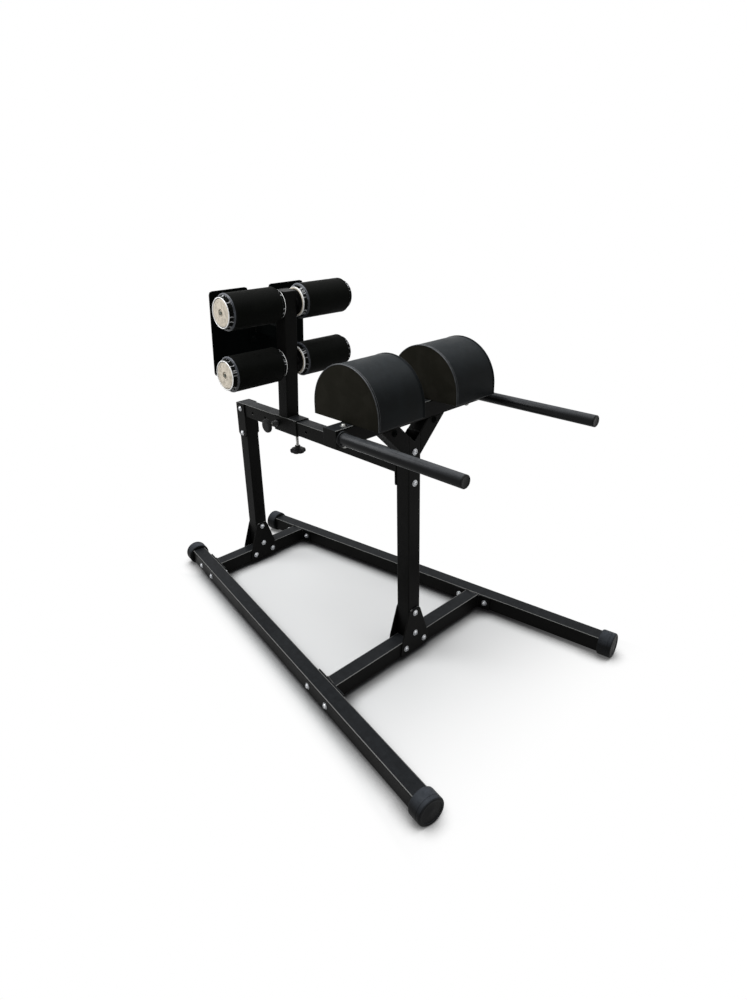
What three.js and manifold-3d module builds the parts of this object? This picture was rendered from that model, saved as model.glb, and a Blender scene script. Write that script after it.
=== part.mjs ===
// A glute ham developer: a splayed floor frame of square tube, two uprights with a beam between
// them, a forked head with half-round thigh pads and long handles, and a foot carriage that slides
// along the beam. Millimetres. +X points to the handle tips, +Y to the left of a person who looks
// that way, +Z up. The origin is on the floor, in the middle of the footprint.

import * as THREE from "three";
import { mergeVertices } from "three/addons/utils/BufferGeometryUtils.js";
import Module from "manifold-3d";

// Fits that the whole machine shares
const seatGap = 0.3;
const cutOverrun = 3;
const boltHoleRadius = 5.8;

// Floor frame
const railTube = 60;
const railWall = 3;
const railCorner = 4;
const railLength = 1825;
const railSpacing = 757;
const railSplay = THREE.MathUtils.degToRad(8.88);
const capRadius = 48;
const capFlat = 1;
const capLength = 52;
const capEnd = 9;
const capEdge = 6;
const capShoulder = 5;
const capFit = 0.3;
const frontCrossInset = 586.5;
const rearCrossInset = 231.5;
const endPlateLength = 165;
const endPlateThickness = 5;
const endPlateBoltPitch = 120;

// Square tube of the cross tubes, uprights, head and foot post
const frameTube = 60;
const frameWall = 3;
const frameCorner = 4;

// Gusset plates at the feet of the uprights
const gussetThickness = 5;
const gussetFootWidth = 156;
const gussetShoulderWidth = 136;
const gussetShoulderZ = 80;
const gussetTopWidth = 50;
const gussetTopZ = 206;
const gussetCorner = 12;
const gussetUpperBoltZ = 186;
const gussetMiddleBoltZ = 96;
const gussetFootBoltPitch = 99;

// Main beam with its hole pattern, and the plug in its rear end
const beamTop = 811;
const beamHeight = 58;
const beamHolePitch = 95;
const beamHoleRadius = 6.5;
const beamHoleFirst = 92;
const beamHoleCount = 5;
const plugDepth = 15;
const plugRim = 3;
const plugFit = 0.4;

// Flange that bolts the beam to the front upright
const flangeThickness = 6;
const flangeWidth = 64;
const flangeOverhang = 18;
const flangeCorner = 6;
const flangeLowerBoltZ = 722;
const flangeUpperBoltZ = 839;

// Brackets that bolt the beam to the rear upright
const bracketThickness = 5;
const bracketWidth = 60;
const bracketBottomZ = 652;
const bracketChamfer = 14;
const bracketLowerBoltZ = 670;
const bracketUpperBoltZ = 786.5;

// Forked head: two struts and the crossbar on them
const strutAngle = THREE.MathUtils.degToRad(45);
const strutMeetZ = 833.5;
const crossbarTop = 1004;
const crossbarBeyond = 25;
const crossbarEnd = 4;
const tongueThickness = 6;
const tongueWidth = 38;
const tongueLength = 62;
const strutBoltDrop = 13;
const clampBoltInside = 26;
const clampBoltAhead = 10;

// Handles
const handleRadius = 19.5;
const handleWall = 2.5;
const handleFit = 0.6;
const handleSpacing = 650;
const handleReach = 469;
const handleInset = 40;
const collarRadius = 25;
const collarThickness = 6;
const handlePlugDepth = 18;
const handlePlugRim = 3;

// Thigh pads and the boards in their bases
const padRadius = 151;
const padBehind = 5;
const padTop = 1192;
const padBesideHandle = 43;
const padWidth = 207;
const padCrown = 3;
const padFaceSwell = 2;
const padPiping = 4;
const padSeam = 2.5;
const padCorner = 8;
const boardThickness = 15;
const boardInset = 10;
const padBoltSpread = 110;

// Foot carriage: sleeve, post and foot plate
const sleeveLength = 150;
const sleeveWall = 4;
const sleeveFit = 1;
const sleeveCorner = 6;
const sleeveBehindPin = 20;
const postAheadOfPin = 40;
const postLength = 513.7;
const postLean = THREE.MathUtils.degToRad(4.2);
const postCapDepth = 20;
const postCapRim = 4;
const postCapEdge = 3;
const footPlateBehind = 189;
const footPlateThickness = 5;
const footPlateWidth = 458;
const footPlateHeight = 339;
const footPlateDrop = 5;
const footPlateCorner = 14;
const notchWidth = 106;
const notchDepth = 70;
const notchCorner = 12;
const armTube = 50;
const armDrop = 165;
const armVentRadius = 12;
const armFlangeThickness = 5;
const armFlangeHeight = 130;
const armPlateWidth = 110;
const armBoltInset = 15;

// Rollers and their axles
const upperRollerDrop = 46.5;
const rollerPitch = 235.5;
const rollerRadius = 70;
const rollerInnerY = 42;
const rollerOuterY = 296.5;
const axleRadius = 12.5;
const axleFit = 0.5;
const axleCollarRadius = 19;
const axleEndPlay = 0.5;
const hubFit = 0.8;
const hubCoreRadius = 24;
const discRadius = 57;
const discThickness = 9;
const discEdge = 1.5;
const hubRecessRadius = 19;
const hubRecess = 6;
const gatherLength = 10;
const gatherRadius = 57;
const rolledEdge = 4;
const rollerCrown = 1;
const axleBoltRadius = 5;
const axleBoltLength = 36;
const axleBoltHead = 5;
const axleWasherRadius = 16;

// Lock pin
const pinRadius = 5;
const pinFit = 0.6;
const pinTravel = 14;
const pinTaper = 2;
const pinKnobRadius = 30;
const pinKnobLength = 22;
const pinKnobEdge = 4;
const pinKnobSocket = 15;
const barrelRadius = 12;
const barrelLength = 24;
const barrelFlangeRadius = 16;
const barrelFlange = 5;

// Clamp screw
const clampAheadOfPost = 47;
const clampRadius = 6;
const clampFit = 0.7;
const clampNutRadius = 13;
const clampNutHeight = 12;
const clampKnobDrop = 77;
const clampKnobRadius = 31;
const clampKnobLobe = 2;
const clampKnobLobes = 6;
const clampKnobHeight = 20;
const clampHubRadius = 12;
const clampHubHeight = 12;
const clampSocketFloor = 6;

// Fasteners
const boltRadius = 4.9;
const boltHeadRadius = 9;
const boltHeadHeight = 6;
const washerRadius = 12;
const washerThickness = 2;
const nutRadius = 9.5;
const nutHeight = 8;
const threadEnd = 2;
const headStepShare = 0.35;
const headShoulderShare = 0.75;

// Straight edges round a full turn, and steps in a corner
const hexSides = 6;
const boltSides = 8;
const rodSides = 16;
const rollerSides = 20;
const cornerSteps = 2;
const lobeSteps = 4;
const padArcSteps = 18;

// Places that follow from the sizes above
const sides = [1, -1];
const railZ = capRadius - capFlat;
const halfTube = frameTube / 2;
const crossTop = railZ + halfTube;
const frontCrossX = railLength / 2 - frontCrossInset;
const rearCrossX = rearCrossInset - railLength / 2;
const beamBottom = beamTop - beamHeight;
const beamZ = beamTop - beamHeight / 2;
const beamRear = rearCrossX - halfTube;
const frontX = frontCrossX;
const strutRise = 1 / Math.tan(strutAngle);
const forkZ = strutMeetZ + halfTube / Math.sin(strutAngle);
const crossbarBottom = crossbarTop - frameTube;
const crossbarZ = crossbarTop - halfTube;
const crossbarLength = handleSpacing + 2 * crossbarBeyond;
const clampBoltY = handleSpacing / 2 - clampBoltInside;
const handleTipX = frontX + halfTube + handleReach;
const strutBoltZ = crossbarBottom - strutBoltDrop;
const strutBoltY = (strutBoltZ - strutMeetZ) / strutRise;
const padBottom = crossbarTop + seatGap;
const padX = frontX - padBehind;
const padOuterY = handleSpacing / 2 - padBesideHandle;
const padInnerY = padOuterY - padWidth;
const padMiddleY = (padInnerY + padOuterY) / 2;
const padBoltPlaces = sides.map((side) => padMiddleY + (side * padBoltSpread) / 2);
const endPlateOffset = railTube / 2 + seatGap + endPlateThickness / 2;
const beamHoles = Array.from(
  { length: beamHoleCount },
  (_, n) => rearCrossX + beamHoleFirst + n * beamHolePitch,
);
const pinX = beamHoles[Math.floor(beamHoleCount / 2)];
const postX = pinX + postAheadOfPin;
const sleeveWidth = frameTube + 2 * (sleeveFit + sleeveWall);
const sleeveHeight = beamHeight + 2 * (sleeveFit + sleeveWall);
const sleeveRear = -postAheadOfPin - sleeveBehindPin;
const sleeveTop = beamZ + sleeveHeight / 2;
const sleeveBottom = beamZ - sleeveHeight / 2;
const clampKnobZ = sleeveBottom - clampKnobDrop;
const footPlateX = postX - footPlateBehind;
const postTop = sleeveTop + seatGap + postLength;
const footPlateTop = postTop - footPlateDrop;
const footPlateBottom = footPlateTop - footPlateHeight;
const upperRollerZ = postTop - upperRollerDrop;
const lowerRollerZ = upperRollerZ - rollerPitch;
const armZ = postTop - armDrop;
const armBoltZs = sides.map((side) => armZ + side * (armFlangeHeight / 2 - armBoltInset));
const armBoltY = armPlateWidth / 2 - armBoltInset;

const wasm = await Module();
wasm.setup();

// Finishes: colour, roughness and metalness
const blackPaint = [0x1b1d20, 0.42, 0.35];
const blackPlastic = [0x141516, 0.6, 0];
const greyRubber = [0x2b2d2f, 0.8, 0];
const blackVinyl = [0x191b1e, 0.5, 0];
const birchBoard = [0x8a6a45, 0.8, 0];
const zincPlate = [0xc9ccd0, 0.3, 0.9];
const bareSteel = [0x8d9196, 0.35, 0.9];
const paleNylon = [0xd9d4cb, 0.5, 0];

// A named piece with a material of its own
function piece(parent, name, geometry, [color, roughness, metalness]) {
  const material = new THREE.MeshStandardMaterial({ color, roughness, metalness });
  const mesh = new THREE.Mesh(geometry, material);
  mesh.name = name;
  parent.add(mesh);
  return mesh;
}

function groupAt(parent, x, y, z, turn = 0) {
  const group = new THREE.Group();
  group.position.set(x, y, z);
  group.rotation.z = turn;
  parent.add(group);
  return group;
}

const sideName = (side) => (side > 0 ? "left" : "right");

// Closed solids, joined and cut
function solidOf(geometry) {
  const bare = geometry.clone();
  bare.deleteAttribute("normal");
  bare.deleteAttribute("uv");
  const merged = mergeVertices(bare);
  const vertProperties = new Float32Array(merged.attributes.position.array);
  const triVerts = new Uint32Array(merged.index.array);
  return new wasm.Manifold(new wasm.Mesh({ numProp: 3, vertProperties, triVerts }));
}

function geometryOf(solid) {
  const mesh = solid.getMesh();
  const geometry = new THREE.BufferGeometry();
  geometry.setAttribute("position", new THREE.BufferAttribute(mesh.vertProperties, 3));
  geometry.setIndex(new THREE.BufferAttribute(mesh.triVerts, 1));
  geometry.computeVertexNormals();
  return geometry;
}

function join(first, ...others) {
  return geometryOf(others.reduce((sum, next) => sum.add(solidOf(next)), solidOf(first)));
}

function cut(body, ...tools) {
  return geometryOf(tools.reduce((rest, tool) => rest.subtract(solidOf(tool)), solidOf(body)));
}

function keepWithin(body, region) {
  return geometryOf(solidOf(body).intersect(solidOf(region)));
}

// A box between two opposite corners
function block([x0, y0, z0], [x1, y1, z1]) {
  const box = new THREE.BoxGeometry(Math.abs(x1 - x0), Math.abs(y1 - y0), Math.abs(z1 - z0));
  return box.translate((x0 + x1) / 2, (y0 + y1) / 2, (z0 + z1) / 2);
}

// Lays a form made along +Z along another axis
function along(axis, geometry) {
  if (axis === "x") geometry.rotateY(Math.PI / 2);
  if (axis === "y") geometry.rotateX(-Math.PI / 2);
  return geometry;
}

// A closed outline through [across, up, corner radius] points, anticlockwise
function outline(points, path = new THREE.Shape()) {
  points.forEach(([x, y, radius = 0], index) => {
    const corner = new THREE.Vector2(x, y);
    const toward = (other) => new THREE.Vector2(other[0], other[1]).sub(corner).setLength(radius);
    const enter = corner.clone().add(toward(points.at(index - 1)));
    const leave = corner.clone().add(toward(points[(index + 1) % points.length]));
    if (index === 0) path.moveTo(enter.x, enter.y);
    else path.lineTo(enter.x, enter.y);
    if (radius > 0) path.quadraticCurveTo(x, y, leave.x, leave.y);
  });
  return path;
}

function rectangle(width, height, radius, path) {
  const x = width / 2;
  const y = height / 2;
  const corners = [
    [-x, -y, radius],
    [x, -y, radius],
    [x, y, radius],
    [-x, y, radius],
  ];
  return outline(corners, path);
}

function extrude(shape, depth) {
  return new THREE.ExtrudeGeometry(shape, { depth, bevelEnabled: false, curveSegments: cornerSteps });
}

// A bar or a hollow tube of rounded square section. Along x or y its height stands up;
// along z its width lies on x.
function bar(axis, width, height, corner, start, end, wall = 0) {
  const [across, up] = axis === "x" ? [height, width] : [width, height];
  const section = rectangle(across, up, corner);
  if (wall > 0) {
    section.holes.push(rectangle(across - 2 * wall, up - 2 * wall, 0, new THREE.Path()));
  }
  return along(axis, extrude(section, end - start).translate(0, 0, start));
}

const squareTube = (axis, start, end) =>
  bar(axis, frameTube, frameTube, frameCorner, start, end, frameWall);

function rod(axis, radius, start, end, sideCount = boltSides) {
  const round = new THREE.CylinderGeometry(radius, radius, end - start, sideCount);
  return along(axis, round.rotateX(Math.PI / 2).translate(0, 0, (start + end) / 2));
}

// A turned piece from [radius, place along the axis] points. It starts and ends on the axis,
// or else it is closed back to its first point round a bore.
function turned(axis, points, sideCount) {
  const profile = points.map(([radius, place]) => new THREE.Vector2(radius, place));
  if (points[0][0] > 0) profile.push(profile[0].clone());
  return along(axis, new THREE.LatheGeometry(profile, sideCount).rotateX(Math.PI / 2));
}

function ring(axis, inner, outer, start, end, sideCount = rodSides) {
  const section = [
    [inner, start],
    [outer, start],
    [outer, end],
    [inner, end],
  ];
  return turned(axis, section, sideCount);
}

// A plate across the machine: its outline on y and z, its thickness from x0 to x1
function plateAcross(shape, x0, x1) {
  return extrude(shape, x1 - x0).rotateY(Math.PI / 2).rotateX(Math.PI / 2).translate(x0, 0, 0);
}

// A plate along the machine: its outline on x and z, its thickness from y0 to y1
function plateAlong(shape, y0, y1) {
  return extrude(shape, y1 - y0).rotateX(Math.PI / 2).translate(0, y1, 0);
}

// A domed bolt with washers and a nut: its head seats at 0 and the grip runs back along the axis
function throughBolt(axis, grip) {
  const nutStart = -grip - washerThickness - nutHeight;
  const shoulder = washerThickness + boltHeadHeight * headShoulderShare;
  const body = turned(
    "z",
    [
      [0, nutStart - threadEnd],
      [boltRadius, nutStart - threadEnd],
      [boltRadius, -grip - washerThickness],
      [washerRadius, -grip - washerThickness],
      [washerRadius, -grip],
      [boltRadius, -grip],
      [boltRadius, 0],
      [washerRadius, 0],
      [washerRadius, washerThickness],
      [boltHeadRadius, washerThickness],
      [boltHeadRadius, washerThickness + boltHeadHeight * headStepShare],
      [boltHeadRadius * headShoulderShare, shoulder],
      [0, washerThickness + boltHeadHeight],
    ],
    boltSides,
  );
  const nut = rod("z", nutRadius, nutStart, -grip - washerThickness / 2, hexSides);
  return along(axis, join(body, nut));
}

// Floor frame

const railPlace = (crossX) => (crossX - endPlateOffset * Math.sin(railSplay)) / Math.cos(railSplay);
const endPlateY = (crossX) =>
  railSpacing / 2 + crossX * Math.tan(railSplay) - endPlateOffset / Math.cos(railSplay);

function rail() {
  const reach = railLength / 2 - capEnd - seatGap;
  const holes = [frontCrossX, rearCrossX].flatMap((crossX) =>
    sides.map((side) => {
      const hole = rod("y", boltHoleRadius, -railTube, railTube);
      return hole.translate(railPlace(crossX) + (side * endPlateBoltPitch) / 2, 0, 0);
    }),
  );
  return cut(bar("x", railTube, railTube, railCorner, -reach, reach, railWall), ...holes);
}

function railCap() {
  const form = turned(
    "x",
    [
      [0, -capLength],
      [capRadius - capShoulder, -capLength],
      [capRadius, -capLength + capShoulder],
      [capRadius, -capEdge],
      [capRadius - capEdge / 3, -capEdge / 3],
      [capRadius - capEdge, 0],
      [0, 0],
    ],
    rollerSides,
  );
  const socket = bar(
    "x",
    railTube + 2 * capFit,
    railTube + 2 * capFit,
    railCorner,
    -capLength - cutOverrun,
    -capEnd,
  );
  const low = -railZ - capRadius;
  const floorCut = block(
    [-capLength - cutOverrun, -capRadius, low],
    [cutOverrun, capRadius, -railZ],
  );
  return cut(form, socket, floorCut);
}

function endPlate() {
  const half = [endPlateLength / 2, endPlateThickness / 2, halfTube];
  const plate = block(half.map((v) => -v), half);
  const holes = sides.map((side) =>
    rod("y", boltHoleRadius, -frameTube, frameTube).translate((side * endPlateBoltPitch) / 2, 0, 0),
  );
  return cut(plate, ...holes);
}

function crossTube(crossX) {
  const reach = endPlateY(crossX);
  const lean = frameTube * Math.tan(railSplay);
  const trim = outline([
    [crossX - frameTube, lean - reach],
    [crossX + frameTube, -lean - reach],
    [crossX + frameTube, reach + lean],
    [crossX - frameTube, reach - lean],
  ]);
  const tube = squareTube("y", -railSpacing, railSpacing).translate(crossX, 0, railZ);
  const trimmed = keepWithin(tube, extrude(trim, 2 * frameTube).translate(0, 0, railZ - frameTube));
  const holes = sides.map((side) =>
    rod("x", boltHoleRadius, -frameTube, frameTube).translate(
      crossX,
      (side * gussetFootBoltPitch) / 2,
      railZ,
    ),
  );
  const plates = sides.map((side) =>
    endPlate()
      .rotateZ(side * railSplay)
      .translate(crossX, side * reach, railZ),
  );
  return join(cut(trimmed, ...holes), ...plates);
}

function gusset() {
  const footZ = railZ - halfTube;
  const shape = outline([
    [-gussetFootWidth / 2, footZ, gussetCorner],
    [gussetFootWidth / 2, footZ, gussetCorner],
    [gussetShoulderWidth / 2, gussetShoulderZ, gussetCorner],
    [gussetTopWidth / 2, gussetTopZ, gussetCorner],
    [-gussetTopWidth / 2, gussetTopZ, gussetCorner],
    [-gussetShoulderWidth / 2, gussetShoulderZ, gussetCorner],
  ]);
  const places = [
    [0, gussetUpperBoltZ],
    [0, gussetMiddleBoltZ],
    [gussetFootBoltPitch / 2, railZ],
    [-gussetFootBoltPitch / 2, railZ],
  ];
  const holes = places.map(([y, z]) =>
    rod("x", boltHoleRadius, -cutOverrun, gussetThickness + cutOverrun).translate(0, y, z),
  );
  return cut(plateAcross(shape, 0, gussetThickness), ...holes);
}

function upright(crossX, top, boltZs, boltAxis) {
  const tube = squareTube("z", crossTop + seatGap, top);
  const gussetHoles = [gussetUpperBoltZ, gussetMiddleBoltZ].map((z) =>
    rod("x", boltHoleRadius, -frameTube, frameTube).translate(0, 0, z),
  );
  const headHoles = boltZs.map((z) =>
    rod(boltAxis, boltHoleRadius, -frameTube, frameTube).translate(0, 0, z),
  );
  return cut(tube, ...gussetHoles, ...headHoles).translate(crossX, 0, 0);
}

// The front upright ends in a notch that carries on the upper faces of the two struts
function frontUpright() {
  const top = forkZ + halfTube * strutRise;
  const notch = outline([
    [0, forkZ],
    [frameTube, forkZ + frameTube * strutRise],
    [-frameTube, forkZ + frameTube * strutRise],
  ]);
  const body = upright(frontX, top, [flangeLowerBoltZ, flangeUpperBoltZ], "x");
  return cut(body, plateAcross(notch, frontX - frameTube, frontX + frameTube));
}

function addFloorFrame(part) {
  for (const side of sides) {
    const place = groupAt(part, 0, (side * railSpacing) / 2, railZ, side * railSplay);
    piece(place, `${sideName(side)}_floor_rail`, rail(), blackPaint);
    for (const end of sides) {
      const capPlace = groupAt(place, (end * railLength) / 2, 0, 0, end > 0 ? 0 : Math.PI);
      const name = `${sideName(side)}_${end > 0 ? "front" : "rear"}_rail_cap`;
      piece(capPlace, name, railCap(), greyRubber);
    }
  }
  for (const [name, crossX] of [["front", frontCrossX], ["rear", rearCrossX]]) {
    piece(part, `${name}_cross_tube`, crossTube(crossX), blackPaint);
    for (const side of sides) {
      const seat = crossX + side * (halfTube + seatGap) - (side > 0 ? 0 : gussetThickness);
      const place = groupAt(part, seat, 0, 0);
      const facing = side > 0 ? "fore" : "aft";
      piece(place, `${name}_upright_gusset_${facing}`, gusset(), blackPaint);
    }
  }
  piece(part, "front_upright", frontUpright(), blackPaint);
  const rearTop = beamBottom - seatGap;
  const rearUpright = upright(rearCrossX, rearTop, [bracketLowerBoltZ], "y");
  piece(part, "rear_upright", rearUpright, blackPaint);
}

// Main beam

function mainBeam() {
  const flangeFace = frontX - halfTube - seatGap;
  const flangeSection = rectangle(
    flangeWidth,
    flangeUpperBoltZ - flangeLowerBoltZ + 2 * flangeOverhang,
    flangeCorner,
  );
  const flange = plateAcross(flangeSection, flangeFace - flangeThickness, flangeFace);
  flange.translate(0, 0, (flangeUpperBoltZ + flangeLowerBoltZ) / 2);
  const beamFront = flangeFace - flangeThickness / 2;
  const tube = bar("x", frameTube, beamHeight, frameCorner, beamRear, beamFront, frameWall);
  tube.translate(0, 0, beamZ);
  const pinHoles = beamHoles.map((x) =>
    rod("y", beamHoleRadius, -frameTube, frameTube).translate(x, 0, beamZ),
  );
  const bracketHole = rod("y", boltHoleRadius, -frameTube, frameTube);
  bracketHole.translate(rearCrossX, 0, bracketUpperBoltZ);
  const flangeHoles = [flangeLowerBoltZ, flangeUpperBoltZ].map((z) =>
    rod("x", boltHoleRadius, -frameTube, frameTube).translate(flangeFace, 0, z),
  );
  return cut(join(tube, flange), ...pinHoles, bracketHole, ...flangeHoles);
}

function beamPlug() {
  const inner = (size) => size - 2 * (frameWall + plugFit);
  const stemStart = -seatGap - plugRim / 2;
  const stem = bar("x", inner(frameTube), inner(beamHeight), frameWall, stemStart, plugDepth);
  const face = bar("x", frameTube, beamHeight, frameCorner, -seatGap - plugRim, -seatGap);
  return join(stem, face).translate(beamRear, 0, beamZ);
}

function beamBracket() {
  const x = bracketWidth / 2;
  const shape = outline([
    [bracketChamfer - x, bracketBottomZ],
    [x - bracketChamfer, bracketBottomZ],
    [x, bracketBottomZ + bracketChamfer],
    [x, beamTop],
    [-x, beamTop],
    [-x, bracketBottomZ + bracketChamfer],
  ]);
  const holes = [bracketLowerBoltZ, bracketUpperBoltZ].map((z) =>
    rod("y", boltHoleRadius, -cutOverrun, bracketThickness + cutOverrun).translate(0, 0, z),
  );
  return cut(plateAlong(shape, 0, bracketThickness), ...holes);
}

function addBeam(part) {
  piece(part, "main_beam", mainBeam(), blackPaint);
  piece(part, "beam_end_plug", beamPlug(), blackPlastic);
  for (const side of sides) {
    const seat = side * (halfTube + seatGap) - (side > 0 ? 0 : bracketThickness);
    const place = groupAt(part, rearCrossX, seat, 0);
    piece(place, `${sideName(side)}_beam_bracket`, beamBracket(), blackPaint);
  }
  const bracketSeat = halfTube + seatGap + bracketThickness;
  for (const [name, z] of [["lower", bracketLowerBoltZ], ["upper", bracketUpperBoltZ]]) {
    const place = groupAt(part, rearCrossX, -bracketSeat, z, Math.PI);
    piece(place, `${name}_bracket_bolt`, throughBolt("y", 2 * bracketSeat), zincPlate);
  }
  const flangeGrip = frameTube + seatGap + flangeThickness;
  for (const [name, z] of [["lower", flangeLowerBoltZ], ["upper", flangeUpperBoltZ]]) {
    const place = groupAt(part, frontX + halfTube, 0, z);
    piece(place, `${name}_flange_bolt`, throughBolt("x", flangeGrip), zincPlate);
  }
}

// Forked head

function atStrut(geometry, side) {
  return geometry.rotateX(-side * strutAngle).translate(frontX, 0, strutMeetZ);
}

function strutBoltHole(side) {
  const hole = rod("x", boltHoleRadius, -frameTube, frameTube);
  return hole.translate(frontX, side * strutBoltY, strutBoltZ);
}

function strut(side) {
  const reach = (crossbarBottom - strutMeetZ) / Math.cos(strutAngle) + frameTube;
  const tube = atStrut(squareTube("z", 0, reach), side);
  const region = block(
    [frontX - frameTube, side * (halfTube + seatGap), beamBottom],
    [frontX + frameTube, side * crossbarLength, crossbarBottom - seatGap],
  );
  const hole = strutBoltHole(side);
  return cut(keepWithin(tube, region), hole);
}

function tongue(side) {
  const top = (crossbarBottom - strutMeetZ) / Math.cos(strutAngle) + tongueWidth / 2;
  const plate = block(
    [-tongueThickness / 2, -tongueWidth / 2, top - tongueLength],
    [tongueThickness / 2, tongueWidth / 2, top + frameWall],
  );
  const region = block(
    [frontX - frameTube, 0, beamBottom],
    [frontX + frameTube, side * crossbarLength, crossbarBottom + frameWall / 2],
  );
  const hole = strutBoltHole(side);
  return cut(keepWithin(atStrut(plate, side), region), hole);
}

function crossbar() {
  const half = crossbarLength / 2;
  const ends = sides.map((side) => {
    const inner = side * half - (side > 0 ? crossbarEnd : 0);
    return bar("y", frameTube, frameTube, frameCorner, inner, inner + crossbarEnd);
  });
  const tube = join(squareTube("y", -half, half), ...ends).translate(frontX, 0, crossbarZ);
  const handleHoles = sides.map((side) => {
    const hole = rod("x", handleRadius + handleFit, 0, frameTube, rodSides);
    return hole.translate(frontX, (side * handleSpacing) / 2, crossbarZ);
  });
  const upHole = (x, y) =>
    rod("z", boltHoleRadius, -frameTube, frameTube).translate(x, y, crossbarZ);
  const clampHoles = sides.map((side) => upHole(frontX + clampBoltAhead, side * clampBoltY));
  const padHoles = sides.flatMap((side) => padBoltPlaces.map((y) => upHole(frontX, side * y)));
  return join(cut(tube, ...handleHoles, ...clampHoles, ...padHoles), ...sides.map(tongue));
}

function handle() {
  const start = frontX + halfTube - handleInset;
  const tube = ring("x", handleRadius - handleWall, handleRadius, start, handleTipX);
  const seat = frontX + halfTube + seatGap;
  const collar = ring("x", handleRadius - handleWall / 2, collarRadius, seat, seat + collarThickness);
  return join(tube, collar);
}

function handlePlug() {
  const stem = handleRadius - handleWall - plugFit;
  const profile = [
    [0, -handlePlugDepth],
    [stem, -handlePlugDepth],
    [stem, seatGap],
    [handleRadius, seatGap],
    [handleRadius, seatGap + handlePlugRim / 2],
    [handleRadius - handlePlugRim / 2, seatGap + handlePlugRim],
    [0, seatGap + handlePlugRim],
  ];
  return turned("x", profile, rodSides);
}

// One outline of a half-round pad, drawn in by an inset, as points across from its left foot
function padRing(y, inset) {
  const centreZ = padTop - padRadius;
  const radius = padRadius - inset;
  const low = padBottom + inset;
  const corner = padCorner;
  const ringPoints = [];
  for (let step = 0; step <= padArcSteps; step += 1) {
    const angle = (Math.PI * step) / padArcSteps;
    ringPoints.push([radius * Math.cos(angle), centreZ + radius * Math.sin(angle)]);
  }
  ringPoints.push([-radius, low + corner], [corner - radius, low]);
  ringPoints.push([radius - corner, low], [radius, low + corner]);
  return ringPoints.map(([x, z]) => new THREE.Vector3(x, y, z));
}

// A closed surface through rings of points, with a fan on each end
function loft(rings, startPoint, endPoint) {
  const count = rings[0].length;
  const points = [...rings.flat(), startPoint, endPoint];
  const index = [];
  for (let n = 0; n < count; n += 1) {
    const next = (n + 1) % count;
    for (let r = 0; r < rings.length - 1; r += 1) {
      const [a, b, c, d] = [r * count + n, r * count + next, (r + 1) * count + next, (r + 1) * count + n];
      index.push(a, c, b, a, d, c);
    }
    const last = (rings.length - 1) * count;
    index.push(points.length - 2, n, next);
    index.push(points.length - 1, last + next, last + n);
  }
  const geometry = new THREE.BufferGeometry().setFromPoints(points);
  geometry.setIndex(index);
  geometry.computeVertexNormals();
  return geometry;
}

// The cover of a pad: flat swollen faces, a corded seam round each, and a crown between them
function padForm() {
  const width = padWidth - 2 * padFaceSwell;
  const seamStations = [
    [0, padPiping + padSeam],
    [0, padPiping / 2],
    [padPiping / 2, padCrown / 3],
    [padPiping * 1.5, padCrown / 3],
    [padPiping * 2, padPiping / 2],
    [padPiping * 2.25, padPiping / 2 + padSeam],
    [padPiping * 2.75, padCrown],
  ];
  const crownShares = [0.1, 0.22, 0.36];
  const crownStations = crownShares.map((share) => [width * share, padCrown * (1 - 2 * share) ** 2]);
  const half = [...seamStations, ...crownStations];
  const mirrored = half.map(([y, inset]) => [width - y, inset]).reverse();
  const stations = [...half, [width / 2, 0], ...mirrored];
  const rings = stations.map(([y, inset]) => padRing(y - width / 2, inset));
  const faceShare = 0.5;
  const pole = (end) =>
    new THREE.Vector3(0, end * (width / 2 + padFaceSwell), (padTop + padBottom) / 2);
  const faceRing = (end) => {
    return padRing((end * width) / 2, padPiping + padSeam).map((p) => {
      const inner = p.clone().lerp(pole(end), faceShare);
      inner.y = end * (width / 2 + padFaceSwell * (1 - faceShare ** 2));
      return inner;
    });
  };
  return loft([faceRing(-1), ...rings, faceRing(1)], pole(-1), pole(1));
}

function boardBlock(grow) {
  const x = padRadius - boardInset + grow;
  const y = padWidth / 2 - boardInset + grow;
  return block([-x, -y, padBottom], [x, y, padBottom + boardThickness + grow]);
}

function thighPad() {
  const socket = boardBlock(seatGap);
  const opening = boardBlock(seatGap).translate(0, 0, -boardThickness / 2);
  return cut(padForm(), join(socket, opening));
}

function padBoard() {
  const reach = boardThickness + cutOverrun;
  const holes = padBoltPlaces.map((y) =>
    rod("z", boltHoleRadius, padBottom - cutOverrun, padBottom + reach).translate(
      padBehind,
      y - padMiddleY,
      0,
    ),
  );
  return cut(boardBlock(0), ...holes);
}

function addHead(part) {
  for (const side of sides) {
    piece(part, `${sideName(side)}_strut`, strut(side), blackPaint);
    const seat = groupAt(part, frontX + halfTube, side * strutBoltY, strutBoltZ);
    piece(seat, `${sideName(side)}_strut_bolt`, throughBolt("x", frameTube), zincPlate);
  }
  piece(part, "crossbar", crossbar(), blackPaint);
  for (const side of sides) {
    const line = groupAt(part, 0, (side * handleSpacing) / 2, crossbarZ);
    piece(line, `${sideName(side)}_handle`, handle(), blackPaint);
    const tip = groupAt(line, handleTipX, 0, 0);
    piece(tip, `${sideName(side)}_handle_plug`, handlePlug(), blackPlastic);
    const padPlace = groupAt(part, padX, side * padMiddleY, 0, side > 0 ? 0 : Math.PI);
    piece(padPlace, `${sideName(side)}_thigh_pad`, thighPad(), blackVinyl);
    const boardPlace = groupAt(part, padX, side * padMiddleY, 0);
    piece(boardPlace, `${sideName(side)}_pad_board`, padBoard(), birchBoard);
  }
}

// Foot carriage, in its own frame: x is measured from the middle of the post at its foot. The post
// and all that it carries are drawn upright and lean forward as a group.

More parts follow.
